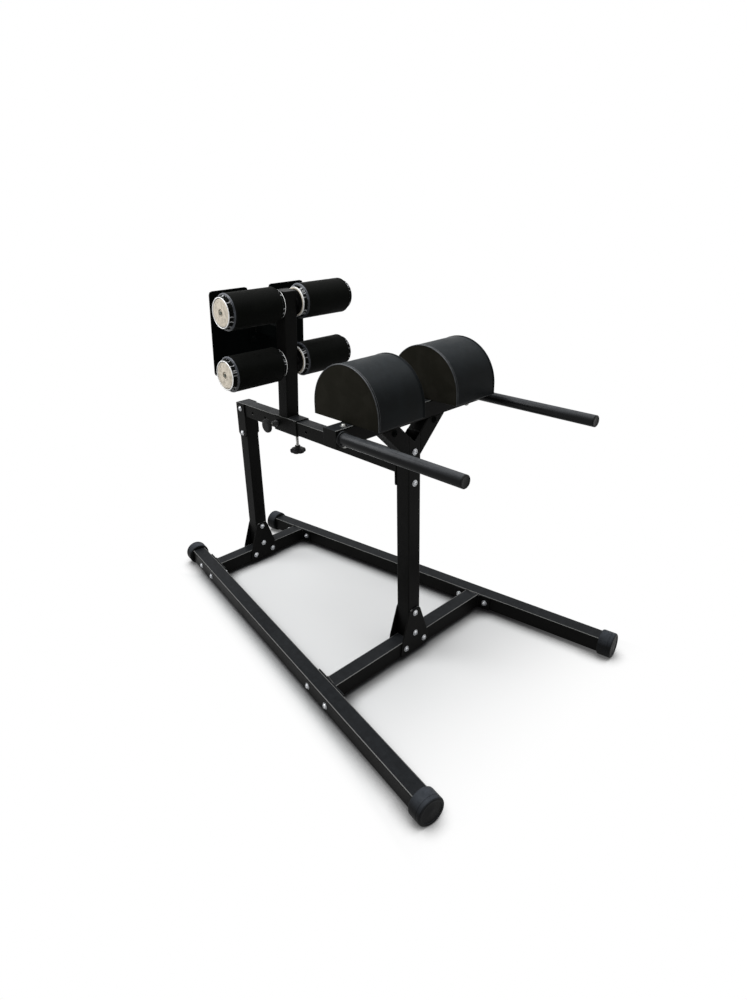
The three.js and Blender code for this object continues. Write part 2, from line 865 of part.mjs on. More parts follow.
function carriageSleeve() {
  const front = sleeveRear + sleeveLength;
  const shell = bar("x", sleeveWidth, sleeveHeight, sleeveCorner, sleeveRear, front, sleeveWall);
  shell.translate(0, 0, beamZ);
  const nutTop = sleeveBottom + sleeveWall / 2;
  const nut = rod("z", clampNutRadius, sleeveBottom - clampNutHeight, nutTop, hexSides);
  nut.translate(clampAheadOfPost, 0, 0);
  const clampHole = rod("z", clampRadius + clampFit, sleeveBottom - frameTube, beamZ);
  clampHole.translate(clampAheadOfPost, 0, 0);
  const pinHole = rod("y", pinRadius + pinFit, -frameTube, 0).translate(-postAheadOfPin, 0, beamZ);
  return cut(join(shell, nut), clampHole, pinHole);
}

// The post leans forward, so its foot is cut level with the sleeve
function footPost() {
  const tube = squareTube("z", sleeveTop - cutOverrun, postTop);
  const below = block([-frameTube, -frameTube, -frameTube], [frameTube, frameTube, seatGap]);
  below.rotateY(-postLean).translate(0, 0, sleeveTop);
  const axleHoles = [upperRollerZ, lowerRollerZ].map((z) =>
    rod("y", axleRadius + axleFit, -frameTube, frameTube, rodSides).translate(0, 0, z),
  );
  return cut(tube, below, ...axleHoles);
}

function postCap() {
  const inner = frameTube - 2 * (frameWall + plugFit);
  const seat = postTop + seatGap;
  const top = postTop + postCapRim;
  const stem = bar("z", inner, inner, frameWall, postTop - postCapDepth, seat + postCapEdge / 2);
  const rim = bar("z", frameTube, frameTube, frameCorner, seat, top - postCapEdge / 2);
  const narrow = frameTube - postCapEdge;
  const crown = bar("z", narrow, narrow, frameCorner, postTop + postCapEdge / 2, top);
  return join(stem, rim, crown);
}

function footPlate() {
  const x = footPlateWidth / 2;
  const notch = notchWidth / 2;
  const notchZ = footPlateTop - notchDepth;
  const shape = outline([
    [-x, footPlateBottom, footPlateCorner],
    [x, footPlateBottom, footPlateCorner],
    [x, footPlateTop, footPlateCorner],
    [notch, footPlateTop, notchCorner],
    [notch, notchZ, notchCorner],
    [-notch, notchZ, notchCorner],
    [-notch, footPlateTop, notchCorner],
    [-x, footPlateTop, footPlateCorner],
  ]);
  const holes = armBoltZs.flatMap((z) =>
    sides.map((side) =>
      rod("x", boltHoleRadius, -cutOverrun, footPlateThickness + cutOverrun).translate(
        0,
        side * armBoltY,
        z,
      ),
    ),
  );
  return cut(plateAcross(shape, 0, footPlateThickness), ...holes);
}

// A square arm that is welded to the post and ends in a flange on the foot plate
function footPlateArm() {
  const front = -halfTube - seatGap;
  const rear = footPlateX + footPlateThickness + seatGap - postX;
  const arm = bar("x", armTube, armTube, frameCorner, rear, front, frameWall).translate(0, 0, armZ);
  const plateFlange = plateAcross(
    rectangle(armPlateWidth, armFlangeHeight, flangeCorner),
    rear,
    rear + armFlangeThickness,
  ).translate(0, 0, armZ);
  const vent = rod("x", armVentRadius, rear - cutOverrun, rear + armTube).translate(0, 0, armZ);
  const holes = armBoltZs.flatMap((z) =>
    sides.map((side) =>
      rod("x", boltHoleRadius, -cutOverrun, armFlangeThickness + cutOverrun).translate(
        rear,
        side * armBoltY,
        z,
      ),
    ),
  );
  return cut(join(arm, plateFlange), vent, ...holes);
}

function axle() {
  const reach = rollerOuterY - hubRecess + axleEndPlay;
  const collarStart = halfTube + seatGap;
  const collarEnd = rollerInnerY - axleEndPlay;
  const collars = sides.map((side) => {
    const [start, end] = side > 0 ? [collarStart, collarEnd] : [-collarEnd, -collarStart];
    return ring("y", axleRadius / 2, axleCollarRadius, start, end);
  });
  const tapped = sides.map((side) => {
    const hole = rod("y", axleBoltRadius + pinFit, reach - axleBoltLength, reach + cutOverrun);
    return side > 0 ? hole : hole.rotateZ(Math.PI);
  });
  return cut(join(rod("y", axleRadius, -reach, reach, rodSides), ...collars), ...tapped);
}

// The bolt in the end of an axle: its washer seats on the axle and holds the hub
function axleBolt() {
  const reach = rollerOuterY - hubRecess + axleEndPlay + seatGap;
  const shank = axleBoltLength - cutOverrun;
  const profile = [
    [0, -shank],
    [axleBoltRadius, -shank],
    [axleBoltRadius, 0],
    [axleWasherRadius, 0],
    [axleWasherRadius, washerThickness],
    [boltHeadRadius, washerThickness],
    [boltHeadRadius, washerThickness + axleBoltHead * headShoulderShare],
    [boltHeadRadius * headShoulderShare, washerThickness + axleBoltHead],
    [0, washerThickness + axleBoltHead],
  ];
  return turned("y", profile, boltSides).translate(0, reach, 0);
}

// A tube core with a disc on each end; the outer disc is recessed for the bolt
function rollerHub() {
  const bore = axleRadius + hubFit;
  const [inner, outer] = [rollerInnerY, rollerOuterY];
  const profile = [
    [bore, inner],
    [discRadius - discEdge, inner],
    [discRadius, inner + discEdge],
    [discRadius, inner + discThickness],
    [hubCoreRadius, inner + discThickness],
    [hubCoreRadius, outer - discThickness],
    [discRadius, outer - discThickness],
    [discRadius, outer - discEdge],
    [discRadius - discEdge, outer],
    [hubRecessRadius, outer],
    [hubRecessRadius, outer - hubRecess],
    [bore, outer - hubRecess],
  ];
  return turned("y", profile, rollerSides);
}

// A foam sleeve between the discs, gathered in at both ends behind a rolled edge
function rollerPad() {
  const start = rollerInnerY + discThickness + seatGap;
  const end = rollerOuterY - discThickness - seatGap;
  const bore = hubCoreRadius + seatGap;
  const lip = rollerRadius - rollerCrown;
  const half = [
    [bore, 0],
    [gatherRadius, 0],
    [gatherRadius, gatherLength - rolledEdge],
    [lip - rolledEdge / 2, gatherLength - rolledEdge / 2],
    [lip, gatherLength + rolledEdge / 2],
    [lip, gatherLength + 2 * rolledEdge],
  ];
  const lower = half.map(([radius, place]) => [radius, start + place]);
  const upper = half.map(([radius, place]) => [radius, end - place]).reverse();
  return turned("y", [...lower, [rollerRadius, (start + end) / 2], ...upper], rollerSides);
}

function addRollers(leaning) {
  for (const [level, z] of [["upper", upperRollerZ], ["lower", lowerRollerZ]]) {
    piece(groupAt(leaning, 0, 0, z), `${level}_axle`, axle(), bareSteel);
    for (const side of sides) {
      const place = groupAt(leaning, 0, 0, z, side > 0 ? 0 : Math.PI);
      const name = `${level}_${sideName(side)}`;
      piece(place, `${name}_roller_hub`, rollerHub(), paleNylon);
      piece(place, `${name}_roller_pad`, rollerPad(), blackVinyl);
      piece(place, `${name}_axle_bolt`, axleBolt(), zincPlate);
    }
  }
}

// The lock pin in its own frame: +Y runs outward from the middle of the beam, and the pin is parked
function addLockPin(carriage) {
  const place = groupAt(carriage, -postAheadOfPin, 0, beamZ, Math.PI);
  const barrelSeat = sleeveWidth / 2 + seatGap;
  const barrel = turned(
    "y",
    [
      [pinRadius + pinFit, 0],
      [barrelFlangeRadius, 0],
      [barrelFlangeRadius, barrelFlange],
      [barrelRadius, barrelFlange],
      [barrelRadius, barrelLength],
      [pinRadius + pinFit, barrelLength],
    ],
    boltSides,
  );
  piece(place, "lock_pin_barrel", barrel.translate(0, barrelSeat, 0), bareSteel);
  const tip = halfTube + sleeveFit / 2;
  const knobStart = barrelSeat + barrelLength + pinTravel + seatGap;
  const pin = turned(
    "y",
    [
      [0, tip],
      [pinRadius - pinTaper, tip],
      [pinRadius, tip + pinTaper],
      [pinRadius, knobStart + pinKnobSocket - seatGap],
      [0, knobStart + pinKnobSocket - seatGap],
    ],
    boltSides,
  );
  piece(place, "lock_pin", pin, bareSteel);
  const socket = pinRadius + seatGap;
  const knob = turned(
    "y",
    [
      [0, pinKnobSocket],
      [socket, pinKnobSocket],
      [socket, 0],
      [barrelRadius, 0],
      [barrelRadius, pinKnobEdge],
      [pinKnobRadius, 2 * pinKnobEdge],
      [pinKnobRadius, pinKnobLength - pinKnobEdge],
      [pinKnobRadius - pinKnobEdge, pinKnobLength],
      [0, pinKnobLength],
    ],
    rodSides,
  );
  piece(place, "lock_pin_knob", knob.translate(0, knobStart, 0), blackPlastic);
}

// The clamp screw presses up on the beam from a welded nut and carries a lobed knob
function addClampScrew(carriage) {
  const place = groupAt(carriage, clampAheadOfPost, 0, 0);
  const knobBottom = clampKnobZ - clampKnobHeight / 2;
  const socketFloor = knobBottom + clampSocketFloor;
  const screw = rod("z", clampRadius, socketFloor + seatGap, beamBottom - seatGap);
  piece(place, "clamp_screw", screw, bareSteel);
  const steps = clampKnobLobes * lobeSteps;
  const rim = Array.from({ length: steps }, (_, n) => {
    const angle = (2 * Math.PI * n) / steps;
    const radius = clampKnobRadius + clampKnobLobe * Math.cos(clampKnobLobes * angle);
    return new THREE.Vector2(radius * Math.cos(angle), radius * Math.sin(angle));
  });
  const body = extrude(new THREE.Shape(rim), clampKnobHeight).translate(0, 0, knobBottom);
  const hubTop = knobBottom + clampKnobHeight + clampHubHeight;
  const hub = rod("z", clampHubRadius, clampKnobZ, hubTop, rodSides);
  const socket = rod("z", clampRadius + seatGap, socketFloor, hubTop + cutOverrun);
  piece(place, "clamp_knob", cut(join(body, hub), socket), blackPlastic);
}

function addCarriage(part) {
  const carriage = groupAt(part, postX, 0, 0);
  piece(carriage, "carriage_sleeve", carriageSleeve(), blackPaint);
  const foot = groupAt(carriage, 0, 0, sleeveTop);
  foot.rotation.y = postLean;
  const leaning = groupAt(foot, 0, 0, -sleeveTop);
  piece(leaning, "foot_post", footPost(), blackPaint);
  piece(leaning, "foot_post_cap", postCap(), blackPlastic);
  piece(groupAt(leaning, footPlateX - postX, 0, 0), "foot_plate", footPlate(), blackPaint);
  piece(leaning, "foot_plate_arm", footPlateArm(), blackPaint);
  addRollers(leaning);
  addLockPin(carriage);
  addClampScrew(carriage);
}

const part = new THREE.Group();
addFloorFrame(part);
addBeam(part);
addHead(part);
addCarriage(part);

export default part;
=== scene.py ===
# %% [markdown]
# # A glute ham developer, dressed in Blender
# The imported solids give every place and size. Tubes and plates keep their solids and get a
# finish. Everything soft, round or threaded is modelled again here with more detail, at the
# same place, and stands for the solid it covers.

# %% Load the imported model
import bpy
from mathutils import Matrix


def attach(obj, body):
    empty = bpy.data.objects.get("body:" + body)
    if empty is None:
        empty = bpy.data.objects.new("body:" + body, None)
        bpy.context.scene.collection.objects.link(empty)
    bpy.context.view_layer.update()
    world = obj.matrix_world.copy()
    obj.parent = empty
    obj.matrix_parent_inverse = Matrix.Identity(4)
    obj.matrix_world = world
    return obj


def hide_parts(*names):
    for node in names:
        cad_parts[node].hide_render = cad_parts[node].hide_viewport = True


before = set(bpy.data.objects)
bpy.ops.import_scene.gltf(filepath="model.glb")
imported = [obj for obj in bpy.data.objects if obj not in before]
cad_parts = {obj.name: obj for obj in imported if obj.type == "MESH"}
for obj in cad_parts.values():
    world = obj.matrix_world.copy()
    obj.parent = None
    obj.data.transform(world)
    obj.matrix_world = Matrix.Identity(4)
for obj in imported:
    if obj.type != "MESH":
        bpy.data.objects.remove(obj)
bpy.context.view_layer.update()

# %% Tools for the whole lesson
import math
import random
import bmesh
import bpy
from mathutils import Matrix, Vector

MM = 0.001
SIDES = {"left": 1, "right": -1}
scene = bpy.context.scene
scene.view_settings.view_transform = "Standard"
print("solids:", len(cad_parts))

# %% [markdown]
# ## Camera
# The photograph was taken with a wide lens from the front right, a little above the pads, and
# the camera leaned by two degrees. A camera could be aimed with a tracking constraint, but the
# lean and the off-centre framing are easier to state as three axes and a lens shift.

# %% Camera
CAMERA_PLACE = Vector((1756.6, -1529.7, 1644.0)) * MM
CAMERA_AZIMUTH, CAMERA_ELEVATION, CAMERA_LEAN = (math.radians(a) for a in (48.639, 21.835, -2.09))
LENS, SENSOR, SHIFT, FAR_CLIP = 23.28, 36, (0.0235, -0.040), 60


def camera_axes(azimuth, elevation, lean):
    """The right, up and back axes of the camera, as the columns of a matrix."""
    flat = math.cos(elevation)
    back = Vector((math.sin(azimuth) * flat, -math.cos(azimuth) * flat, math.sin(elevation)))
    level = Vector((math.cos(azimuth), math.sin(azimuth), 0))
    upright = back.cross(level)
    right = level * math.cos(lean) + upright * math.sin(lean)
    up = upright * math.cos(lean) - level * math.sin(lean)
    return Matrix((right, up, back)).transposed()


bpy.ops.object.camera_add()
camera = bpy.context.object
camera.name = "photo_camera"
camera.data.lens = LENS
camera.data.sensor_width = SENSOR
camera.data.shift_x, camera.data.shift_y = SHIFT
camera.data.clip_end = FAR_CLIP
turn = camera_axes(CAMERA_AZIMUTH, CAMERA_ELEVATION, CAMERA_LEAN)
camera.matrix_world = Matrix.Translation(CAMERA_PLACE) @ turn.to_4x4()
scene.camera = camera
print("camera:", [round(v, 3) for v in camera.location], LENS, "mm")

# %% [markdown]
# ## Node helpers
# Every finish below is built from nodes, and a few helpers keep the cells short. One adds a
# node and feeds each input with a value or with a socket of another node. The others start a
# shader group or a material, do a sum, read the place on the piece, and mix two colours.

# %% Node helpers


def feed(tree, node, inputs):
    """Gives each input its value, or a link where the value is a socket."""
    for name, value in inputs.items():
        if isinstance(value, bpy.types.NodeSocket):
            tree.links.new(value, node.inputs[name])
        else:
            node.inputs[name].default_value = value
    return node


def add_node(tree, kind, inputs=None, **settings):
    node = tree.nodes.new(kind)
    for key, value in settings.items():
        setattr(node, key, value)
    return feed(tree, node, inputs or {})


def start_group(name, inputs, outputs):
    """A shader group: its number inputs with their defaults, and its outputs with their kinds."""
    group = bpy.data.node_groups.new(name, "ShaderNodeTree")
    for socket, value in inputs.items():
        made = group.interface.new_socket(socket, in_out="INPUT", socket_type="NodeSocketFloat")
        made.default_value = value
    for socket, kind in outputs.items():
        group.interface.new_socket(socket, in_out="OUTPUT", socket_type="NodeSocket" + kind)
    return group, group.nodes.new("NodeGroupInput").outputs, group.nodes.new("NodeGroupOutput")


def use_group(tree, group, **inputs):
    node = add_node(tree, "ShaderNodeGroup", node_tree=group)
    return feed(tree, node, inputs).outputs


def start_material(name):
    material = bpy.data.materials.new(name)
    material.use_nodes = True
    return material, material.node_tree, material.node_tree.nodes["Principled BSDF"]


def work_out(tree, operation, *terms, clamp=False):
    """A sum whose terms are numbers or sockets."""
    node = add_node(tree, "ShaderNodeMath", dict(enumerate(terms)), operation=operation)
    node.use_clamp = clamp
    return node.outputs[0]


def object_place(tree):
    return add_node(tree, "ShaderNodeTexCoord").outputs["Object"]


def facing_up(tree):
    """How far a face looks up: the Z part of its true normal."""
    normal = add_node(tree, "ShaderNodeNewGeometry").outputs["True Normal"]
    return add_node(tree, "ShaderNodeSeparateXYZ", {0: normal}).outputs["Z"]


def mix_colour(tree, mask, first, second):
    """The first colour where the mask is 0 and the second where it is 1."""
    inputs = {"Factor": mask}
    for socket, value in ((6, first), (7, second)):
        inputs[socket] = (*value, 1) if isinstance(value, tuple) else value
    return add_node(tree, "ShaderNodeMix", inputs, data_type="RGBA").outputs[2]


print("node helpers ready")

# %% [markdown]
# ## Studio
# The machine stands on a white floor with soft light from above. The world is plain white for
# the camera and for reflections, and gives a lower fill to matt surfaces, so the background
# stays white while the lamps shape the black tubes.

# %% World
WORLD_FILL = 0.32
world = bpy.data.worlds.new("studio")
world.use_nodes = True
scene.world = world
tree = world.node_tree
path = add_node(tree, "ShaderNodeLightPath").outputs
seen = work_out(tree, "MAXIMUM", path["Is Camera Ray"], path["Is Glossy Ray"])
shown = work_out(tree, "MAXIMUM", seen, path["Is Transmission Ray"])
level = add_node(tree, "ShaderNodeMapRange", {"Value": shown, "To Min": WORLD_FILL, "To Max": 1.0})
feed(tree, tree.nodes["Background"], {"Color": (1, 1, 1, 1), "Strength": level.outputs[0]})
print("world fill:", WORLD_FILL)

# %% Lamps
COOL_WHITE = (0.97, 0.985, 1.0)


def softbox(name, place, aim, size, power):
    """A square lamp that looks at a point."""
    bpy.ops.object.light_add(type="AREA", location=Vector(place))
    lamp = bpy.context.object
    lamp.name = name
    lamp.data.shape = "RECTANGLE"
    lamp.data.size = lamp.data.size_y = size
    lamp.data.energy = power
    lamp.data.color = COOL_WHITE
    lamp.rotation_euler = (Vector(aim) - Vector(place)).to_track_quat("-Z", "Y").to_euler()


softbox("key_softbox", (-1.1, -1.6, 3.2), (0, 0, 0.4), 2.2, 78)
softbox("top_softbox", (0.6, 0.5, 3.6), (0.1, 0, 0.4), 3.0, 72)

# %% Floor
FLOOR_REACH, FLOOR_Z = 40, -0.0004
bpy.ops.object.select_all(action="DESELECT")
bpy.ops.mesh.primitive_plane_add(size=FLOOR_REACH, location=(0, 0, FLOOR_Z))
floor = bpy.context.object
floor.name = "floor"
white_floor, tree, shader = start_material("white_floor")
floor.data.materials.append(white_floor)
feed(tree, shader, {"Roughness": 0.9, "Specular IOR Level": 0.0})
print("floor:", FLOOR_REACH, "m")

# %% [markdown]
# Beside, before and behind the machine the ground is pure white, and between the splayed rails its
# colour is grey, a painted soft shadow. A picture could be painted on the floor, but a mask worked out
# from the place on the floor follows the rails, and ambient occlusion paints darker shade on the floor
# where a cap or a tube stands close to it.

# %% Where the floor is white
HALF_WIDTH, SPLAY_SLOPE = 0.3785, 0.1563
BESIDE, AHEAD, BEHIND = (0.035, 0.13), (0.33, 1.0), (0.72, 0.84)
CONTACT_REACH, CONTACT_RANGE = 0.085, (0.35, 0.9)
# Painted shadow colours of the floor: the darkest contact shade, and the grey between the rails.
SHADE_GREY, FLOOR_SHADOW_GREY = (0.1, 0.1, 0.102), (0.79, 0.79, 0.785)


def fade(value, start, end):
    """Rises smoothly from 0 to 1 between two values."""
    step = add_node(tree, "ShaderNodeMapRange", {"Value": value, "From Min": start, "From Max": end},
                    interpolation_type="SMOOTHSTEP")
    return step.outputs[0]


spot = add_node(tree, "ShaderNodeSeparateXYZ", {0: object_place(tree)}).outputs
half_width = work_out(tree, "MULTIPLY_ADD", spot["X"], SPLAY_SLOPE, HALF_WIDTH)
beside = work_out(tree, "SUBTRACT", work_out(tree, "ABSOLUTE", spot["Y"]), half_width)
behind = work_out(tree, "MULTIPLY", spot["X"], -1.0)
open_floor = work_out(tree, "MAXIMUM", fade(beside, *BESIDE), fade(spot["X"], *AHEAD))
open_floor = work_out(tree, "MAXIMUM", open_floor, fade(behind, *BEHIND))
contact = add_node(tree, "ShaderNodeAmbientOcclusion", {"Distance": CONTACT_REACH}, samples=8)
shade = fade(contact.outputs["AO"], *CONTACT_RANGE)
path = add_node(tree, "ShaderNodeLightPath").outputs
seen = work_out(tree, "MAXIMUM", path["Is Camera Ray"], path["Is Glossy Ray"])
# The floor colour is the painted shadow, darkened further by occlusion: painted contact shade.
feed(tree, shader, {"Base Color": mix_colour(tree, shade, SHADE_GREY, FLOOR_SHADOW_GREY)})
# Outside the rails the glow is darkened by the same occlusion: painted contact shadow.
glow = add_node(tree, "ShaderNodeEmission", {
    "Color": mix_colour(tree, shade, (0.12, 0.12, 0.12), (1, 1, 1)), "Strength": 1.0})
blend = add_node(tree, "ShaderNodeMixShader", {
    0: work_out(tree, "MULTIPLY", seen, open_floor), 1: shader.outputs[0], 2: glow.outputs[0]})
feed(tree, tree.nodes["Material Output"], {"Surface": blend.outputs[0]})
print("floor material:", len(tree.nodes), "nodes")

# %% [markdown]
# ## Shared effects
# Paint, vinyl and steel all need fine grain, soft patches, worn edges with a painted highlight, a
# painted highlight on lit corners, and a little dust that also paints light on the tops. Each effect
# could be drawn again in every material, but a node group is built once and tuned by its sockets.
# Bevel nodes find the edges, so the effect needs no extra faces.

# %% Fine grain
group, start, end = start_group("fine_grain", {"Scale": 700, "Mix": 0.5}, {"Height": "Float"})
spot = {"Vector": object_place(group), "Scale": start["Scale"]}
soft = add_node(group, "ShaderNodeTexNoise", {**spot, "Detail": 3.0, "Roughness": 0.55})
cells = add_node(group, "ShaderNodeTexVoronoi", spot, feature="SMOOTH_F1")
both = add_node(group, "ShaderNodeMix", {
    "Factor": start["Mix"], "A": soft.outputs["Fac"], "B": cells.outputs["Distance"]})
feed(group, end, {"Height": both.outputs["Result"]})
fine_grain = group
print("group:", group.name)

# %% Soft patches
group, start, end = start_group("soft_patches", {"Scale": 8, "Low": 0.4, "High": 0.65},
                                {"Mask": "Float"})
cloud = add_node(group, "ShaderNodeTexNoise", {
    "Vector": object_place(group), "Scale": start["Scale"],
    "Detail": 5.0, "Roughness": 0.6, "Distortion": 0.4})
cut = add_node(group, "ShaderNodeMapRange", {
    "Value": cloud.outputs["Fac"], "From Min": start["Low"], "From Max": start["High"]},
    interpolation_type="SMOOTHSTEP")
feed(group, end, {"Mask": cut.outputs[0]})
soft_patches = group
print("group:", group.name)

# %% Worn edges with a painted highlight
group, start, end = start_group("worn_and_highlit_edges", {"Radius": 0.002, "Strength": 3.0},
                                {"Mask": "Float", "Normal": "Vector"})
# The edge mask lightens the colour at every edge: partly wear, partly a painted highlight.
rounded = add_node(group, "ShaderNodeBevel", {"Radius": start["Radius"]}, samples=6).outputs["Normal"]
plain = add_node(group, "ShaderNodeNewGeometry").outputs["True Normal"]
facing = add_node(group, "ShaderNodeVectorMath", {0: rounded, 1: plain}, operation="DOT_PRODUCT")
away = work_out(group, "SUBTRACT", 1.0, facing.outputs["Value"])
gain = work_out(group, "MULTIPLY", away, start["Strength"], clamp=True)
feed(group, end, {"Mask": gain, "Normal": rounded})
worn_and_highlit_edges = group
print("group:", group.name)

# %% Dust and painted light on top
group, start, end = start_group("dust_and_top_light", {"Amount": 0.3, "Scale": 40}, {"Mask": "Float"})
# Faces that look up get a lighter colour: partly dust, partly painted light from above.
upward = add_node(group, "ShaderNodeMapRange", {
    "Value": facing_up(group), "From Min": 0.35, "From Max": 1.0})
speck = add_node(group, "ShaderNodeTexNoise", {
    "Vector": object_place(group), "Scale": start["Scale"], "Detail": 8.0, "Roughness": 0.7})
level = add_node(group, "ShaderNodeMapRange", {
    "Value": speck.outputs["Fac"], "From Min": 0.3, "From Max": 0.7, "To Min": 0.5})
both = work_out(group, "MULTIPLY", upward.outputs[0], level.outputs[0])
feed(group, end, {"Mask": work_out(group, "MULTIPLY", both, start["Amount"], clamp=True)})
dust_and_top_light = group
print("group:", group.name)

# %% Lit corners
# Painted highlight: faces that look up at a slant, as the upper facets of the rounded tube corners do,
# are marked for a lighter colour.
group, start, end = start_group("lit_corners", {"Low": 0.86, "High": 0.97}, {"Mask": "Float"})
up = facing_up(group)
above = work_out(group, "GREATER_THAN", up, start["Low"])
below = work_out(group, "LESS_THAN", up, start["High"])
feed(group, end, {"Mask": work_out(group, "MULTIPLY", above, below)})
lit_corners = group
print("group:", group.name)

# %% [markdown]
# ## Finishes
# Nearly everything on the machine is black, so the finishes have to differ in gloss, grain and a hint
# of hue. One recipe mixes a base colour with a second one by patches, lightens edges with wear and a
# painted highlight, lightens tops with dust and painted light from above, can paint a highlight on lit
# corners, and varies the roughness. Each finish gives it its own values.

# %% The recipe of a finish


def finish(name, base, patch, worn_and_lit_colour, dust_and_top_light_colour, roughness, grain, bump, worn_and_lit_strength=0.8, edge=0.002,
           patch_scale=9, dust_and_top_light_amount=0.35, metal=0.0, specular=0.3, cells=0.3, ior=1.5, corner=None):
    """Roughness is a pair: between the patches and on them. The worn colour is wear and a painted
    highlight on edges, the dust colour is dust and painted light on tops, and the corner colour is a
    painted highlight on lit corners.
    """
    material, tree, shader = start_material(name)
    patches = use_group(tree, soft_patches, Scale=patch_scale)["Mask"]
    edges = use_group(tree, worn_and_highlit_edges, Radius=edge, Strength=worn_and_lit_strength)
    top = use_group(tree, dust_and_top_light, Amount=dust_and_top_light_amount)["Mask"]
    colour = mix_colour(tree, patches, base, patch)
    # Dust, and painted light from above, on faces that look up.
    colour = mix_colour(tree, top, colour, dust_and_top_light_colour)
    # Wear, and a painted highlight, on edges.
    colour = mix_colour(tree, edges["Mask"], colour, worn_and_lit_colour)
    # A painted highlight on lit corners.
    if corner:
        colour = mix_colour(tree, use_group(tree, lit_corners)["Mask"], colour, corner)
    rough = add_node(tree, "ShaderNodeMapRange", {
        "Value": patches, "To Min": roughness[0], "To Max": roughness[1]})
    fine = use_group(tree, fine_grain, Scale=grain, Mix=cells)
    relief = add_node(tree, "ShaderNodeBump", {
        "Strength": bump, "Distance": 0.0004, "Height": fine["Height"], "Normal": edges["Normal"]})
    feed(tree, shader, {
        "Base Color": colour, "Roughness": rough.outputs[0], "Metallic": metal,
        "Specular IOR Level": specular, "IOR": ior, "Normal": relief.outputs["Normal"]})
    return material


print("finish recipe ready")

# %% Paints, rubber and plastic
# In every finish the dust colour is dust and painted light on faces that look up, and the worn colour
# is wear and a painted highlight on edges.
COAT, COAT_PATCH, COAT_WORN_AND_LIT = (0.003, 0.003, 0.0028), (0.0048, 0.0048, 0.0045), (0.03, 0.03, 0.028)
# The black coat also gets a painted highlight on its lit corners.
black_paint = finish(
    "black_powder_coat", COAT, COAT_PATCH, COAT_WORN_AND_LIT, (0.055, 0.06, 0.067), (0.34, 0.44), 900, 0.35,
    worn_and_lit_strength=1.6, dust_and_top_light_amount=0.34, specular=0.12, ior=1.25, corner=(0.16, 0.16, 0.155))
flat_paint = finish(
    "flat_powder_coat", COAT, COAT_PATCH, COAT_WORN_AND_LIT, (0.03, 0.032, 0.034), (0.4, 0.5), 900, 0.35,
    worn_and_lit_strength=1.6, dust_and_top_light_amount=0.1, specular=0.1, ior=1.25)
plate_paint = finish(
    "plate_coat", (0.0012, 0.0018, 0.0017), (0.0018, 0.0024, 0.0023), (0.01, 0.01, 0.01),
    (0.02, 0.02, 0.02), (0.5, 0.6), 900, 0.3, worn_and_lit_strength=1.2, dust_and_top_light_amount=0.1, specular=0.05, ior=1.2)
handle_coat = finish(
    "handle_coat", (0.004, 0.0042, 0.0046), (0.006, 0.0062, 0.0068), (0.05, 0.05, 0.05),
    (0.13, 0.138, 0.15), (0.2, 0.28), 900, 0.3, worn_and_lit_strength=1.2, dust_and_top_light_amount=0.4, specular=0.2, ior=1.33)
cap_rubber = finish(
    "cap_rubber", (0.0035, 0.0038, 0.004), (0.0055, 0.006, 0.0064), (0.03, 0.031, 0.034),
    (0.085, 0.095, 0.112), (0.45, 0.58), 500, 0.5, worn_and_lit_strength=1.0, edge=0.0015, dust_and_top_light_amount=0.6,
    specular=0.15, ior=1.3)
black_plastic = finish(
    "moulded_plastic", (0.004, 0.004, 0.004), (0.006, 0.006, 0.006), (0.03, 0.03, 0.03),
    (0.03, 0.03, 0.032), (0.4, 0.5), 1200, 0.4, worn_and_lit_strength=1.0, edge=0.001, specular=0.2, ior=1.35)
print("finishes:", len(bpy.data.materials))

# %% Vinyl and cloth
cover_vinyl = finish(
    "cover_vinyl", (0.0025, 0.0034, 0.0036), (0.0042, 0.0054, 0.006), (0.02, 0.023, 0.026),
    (0.026, 0.031, 0.035), (0.42, 0.5), 850, 0.7, worn_and_lit_strength=0.5, patch_scale=14, dust_and_top_light_amount=0.55,
    specular=0.12, cells=0.75, ior=1.3)
# The faces of a pad: a warmer, brighter copy of the cover vinyl, painted side light.
warm_lit_side_vinyl = finish(
    "warm_lit_side_vinyl", (0.0125, 0.0118, 0.0088), (0.0165, 0.0155, 0.012), (0.035, 0.035, 0.03),
    (0.03, 0.03, 0.026), (0.6, 0.68), 850, 0.7, worn_and_lit_strength=0.4, patch_scale=14,
    specular=0.05, cells=0.75, ior=1.2)
roller_cloth = finish(
    "roller_cover", (0.0013, 0.0016, 0.0012), (0.0026, 0.003, 0.0024), (0.012, 0.013, 0.014),
    (0.011, 0.011, 0.0105), (0.6, 0.7), 1100, 0.8, worn_and_lit_strength=0.4, edge=0.0015, patch_scale=20,
    dust_and_top_light_amount=0.4, specular=0.06, cells=0.6, ior=1.3)
# The rolled edge of the roller cover: a lighter copy of the cover with a bright top colour, a painted
# highlight.
rolled_edge_highlight = finish(
    "rolled_edge_highlight", (0.008, 0.01, 0.014), (0.03, 0.034, 0.042), (0.1, 0.11, 0.13),
    (0.3, 0.32, 0.37), (0.32, 0.4), 1100, 0.5, edge=0.0015, patch_scale=60, dust_and_top_light_amount=0.9,
    cells=0.6)
# The welt vinyl: a lighter copy of the cover vinyl with a bright top colour, a painted highlight.
lit_welt_vinyl = finish(
    "lit_welt_vinyl", (0.016, 0.018, 0.02), (0.04, 0.043, 0.046), (0.1, 0.105, 0.11),
    (0.17, 0.178, 0.187), (0.38, 0.48), 1500, 0.6, worn_and_lit_strength=0.6, edge=0.0008, patch_scale=60,
    dust_and_top_light_amount=0.9)
# Pale ridges of the gathers: a painted highlight on the pleats.
gather_ridge_highlight = finish(
    "gather_ridge_highlight", (0.34, 0.345, 0.35), (0.02, 0.021, 0.023), (0.5, 0.51, 0.52),
    (0.4, 0.41, 0.42), (0.35, 0.5), 1500, 0.6, edge=0.0008, patch_scale=110, specular=0.4)
print("finishes:", len(bpy.data.materials))

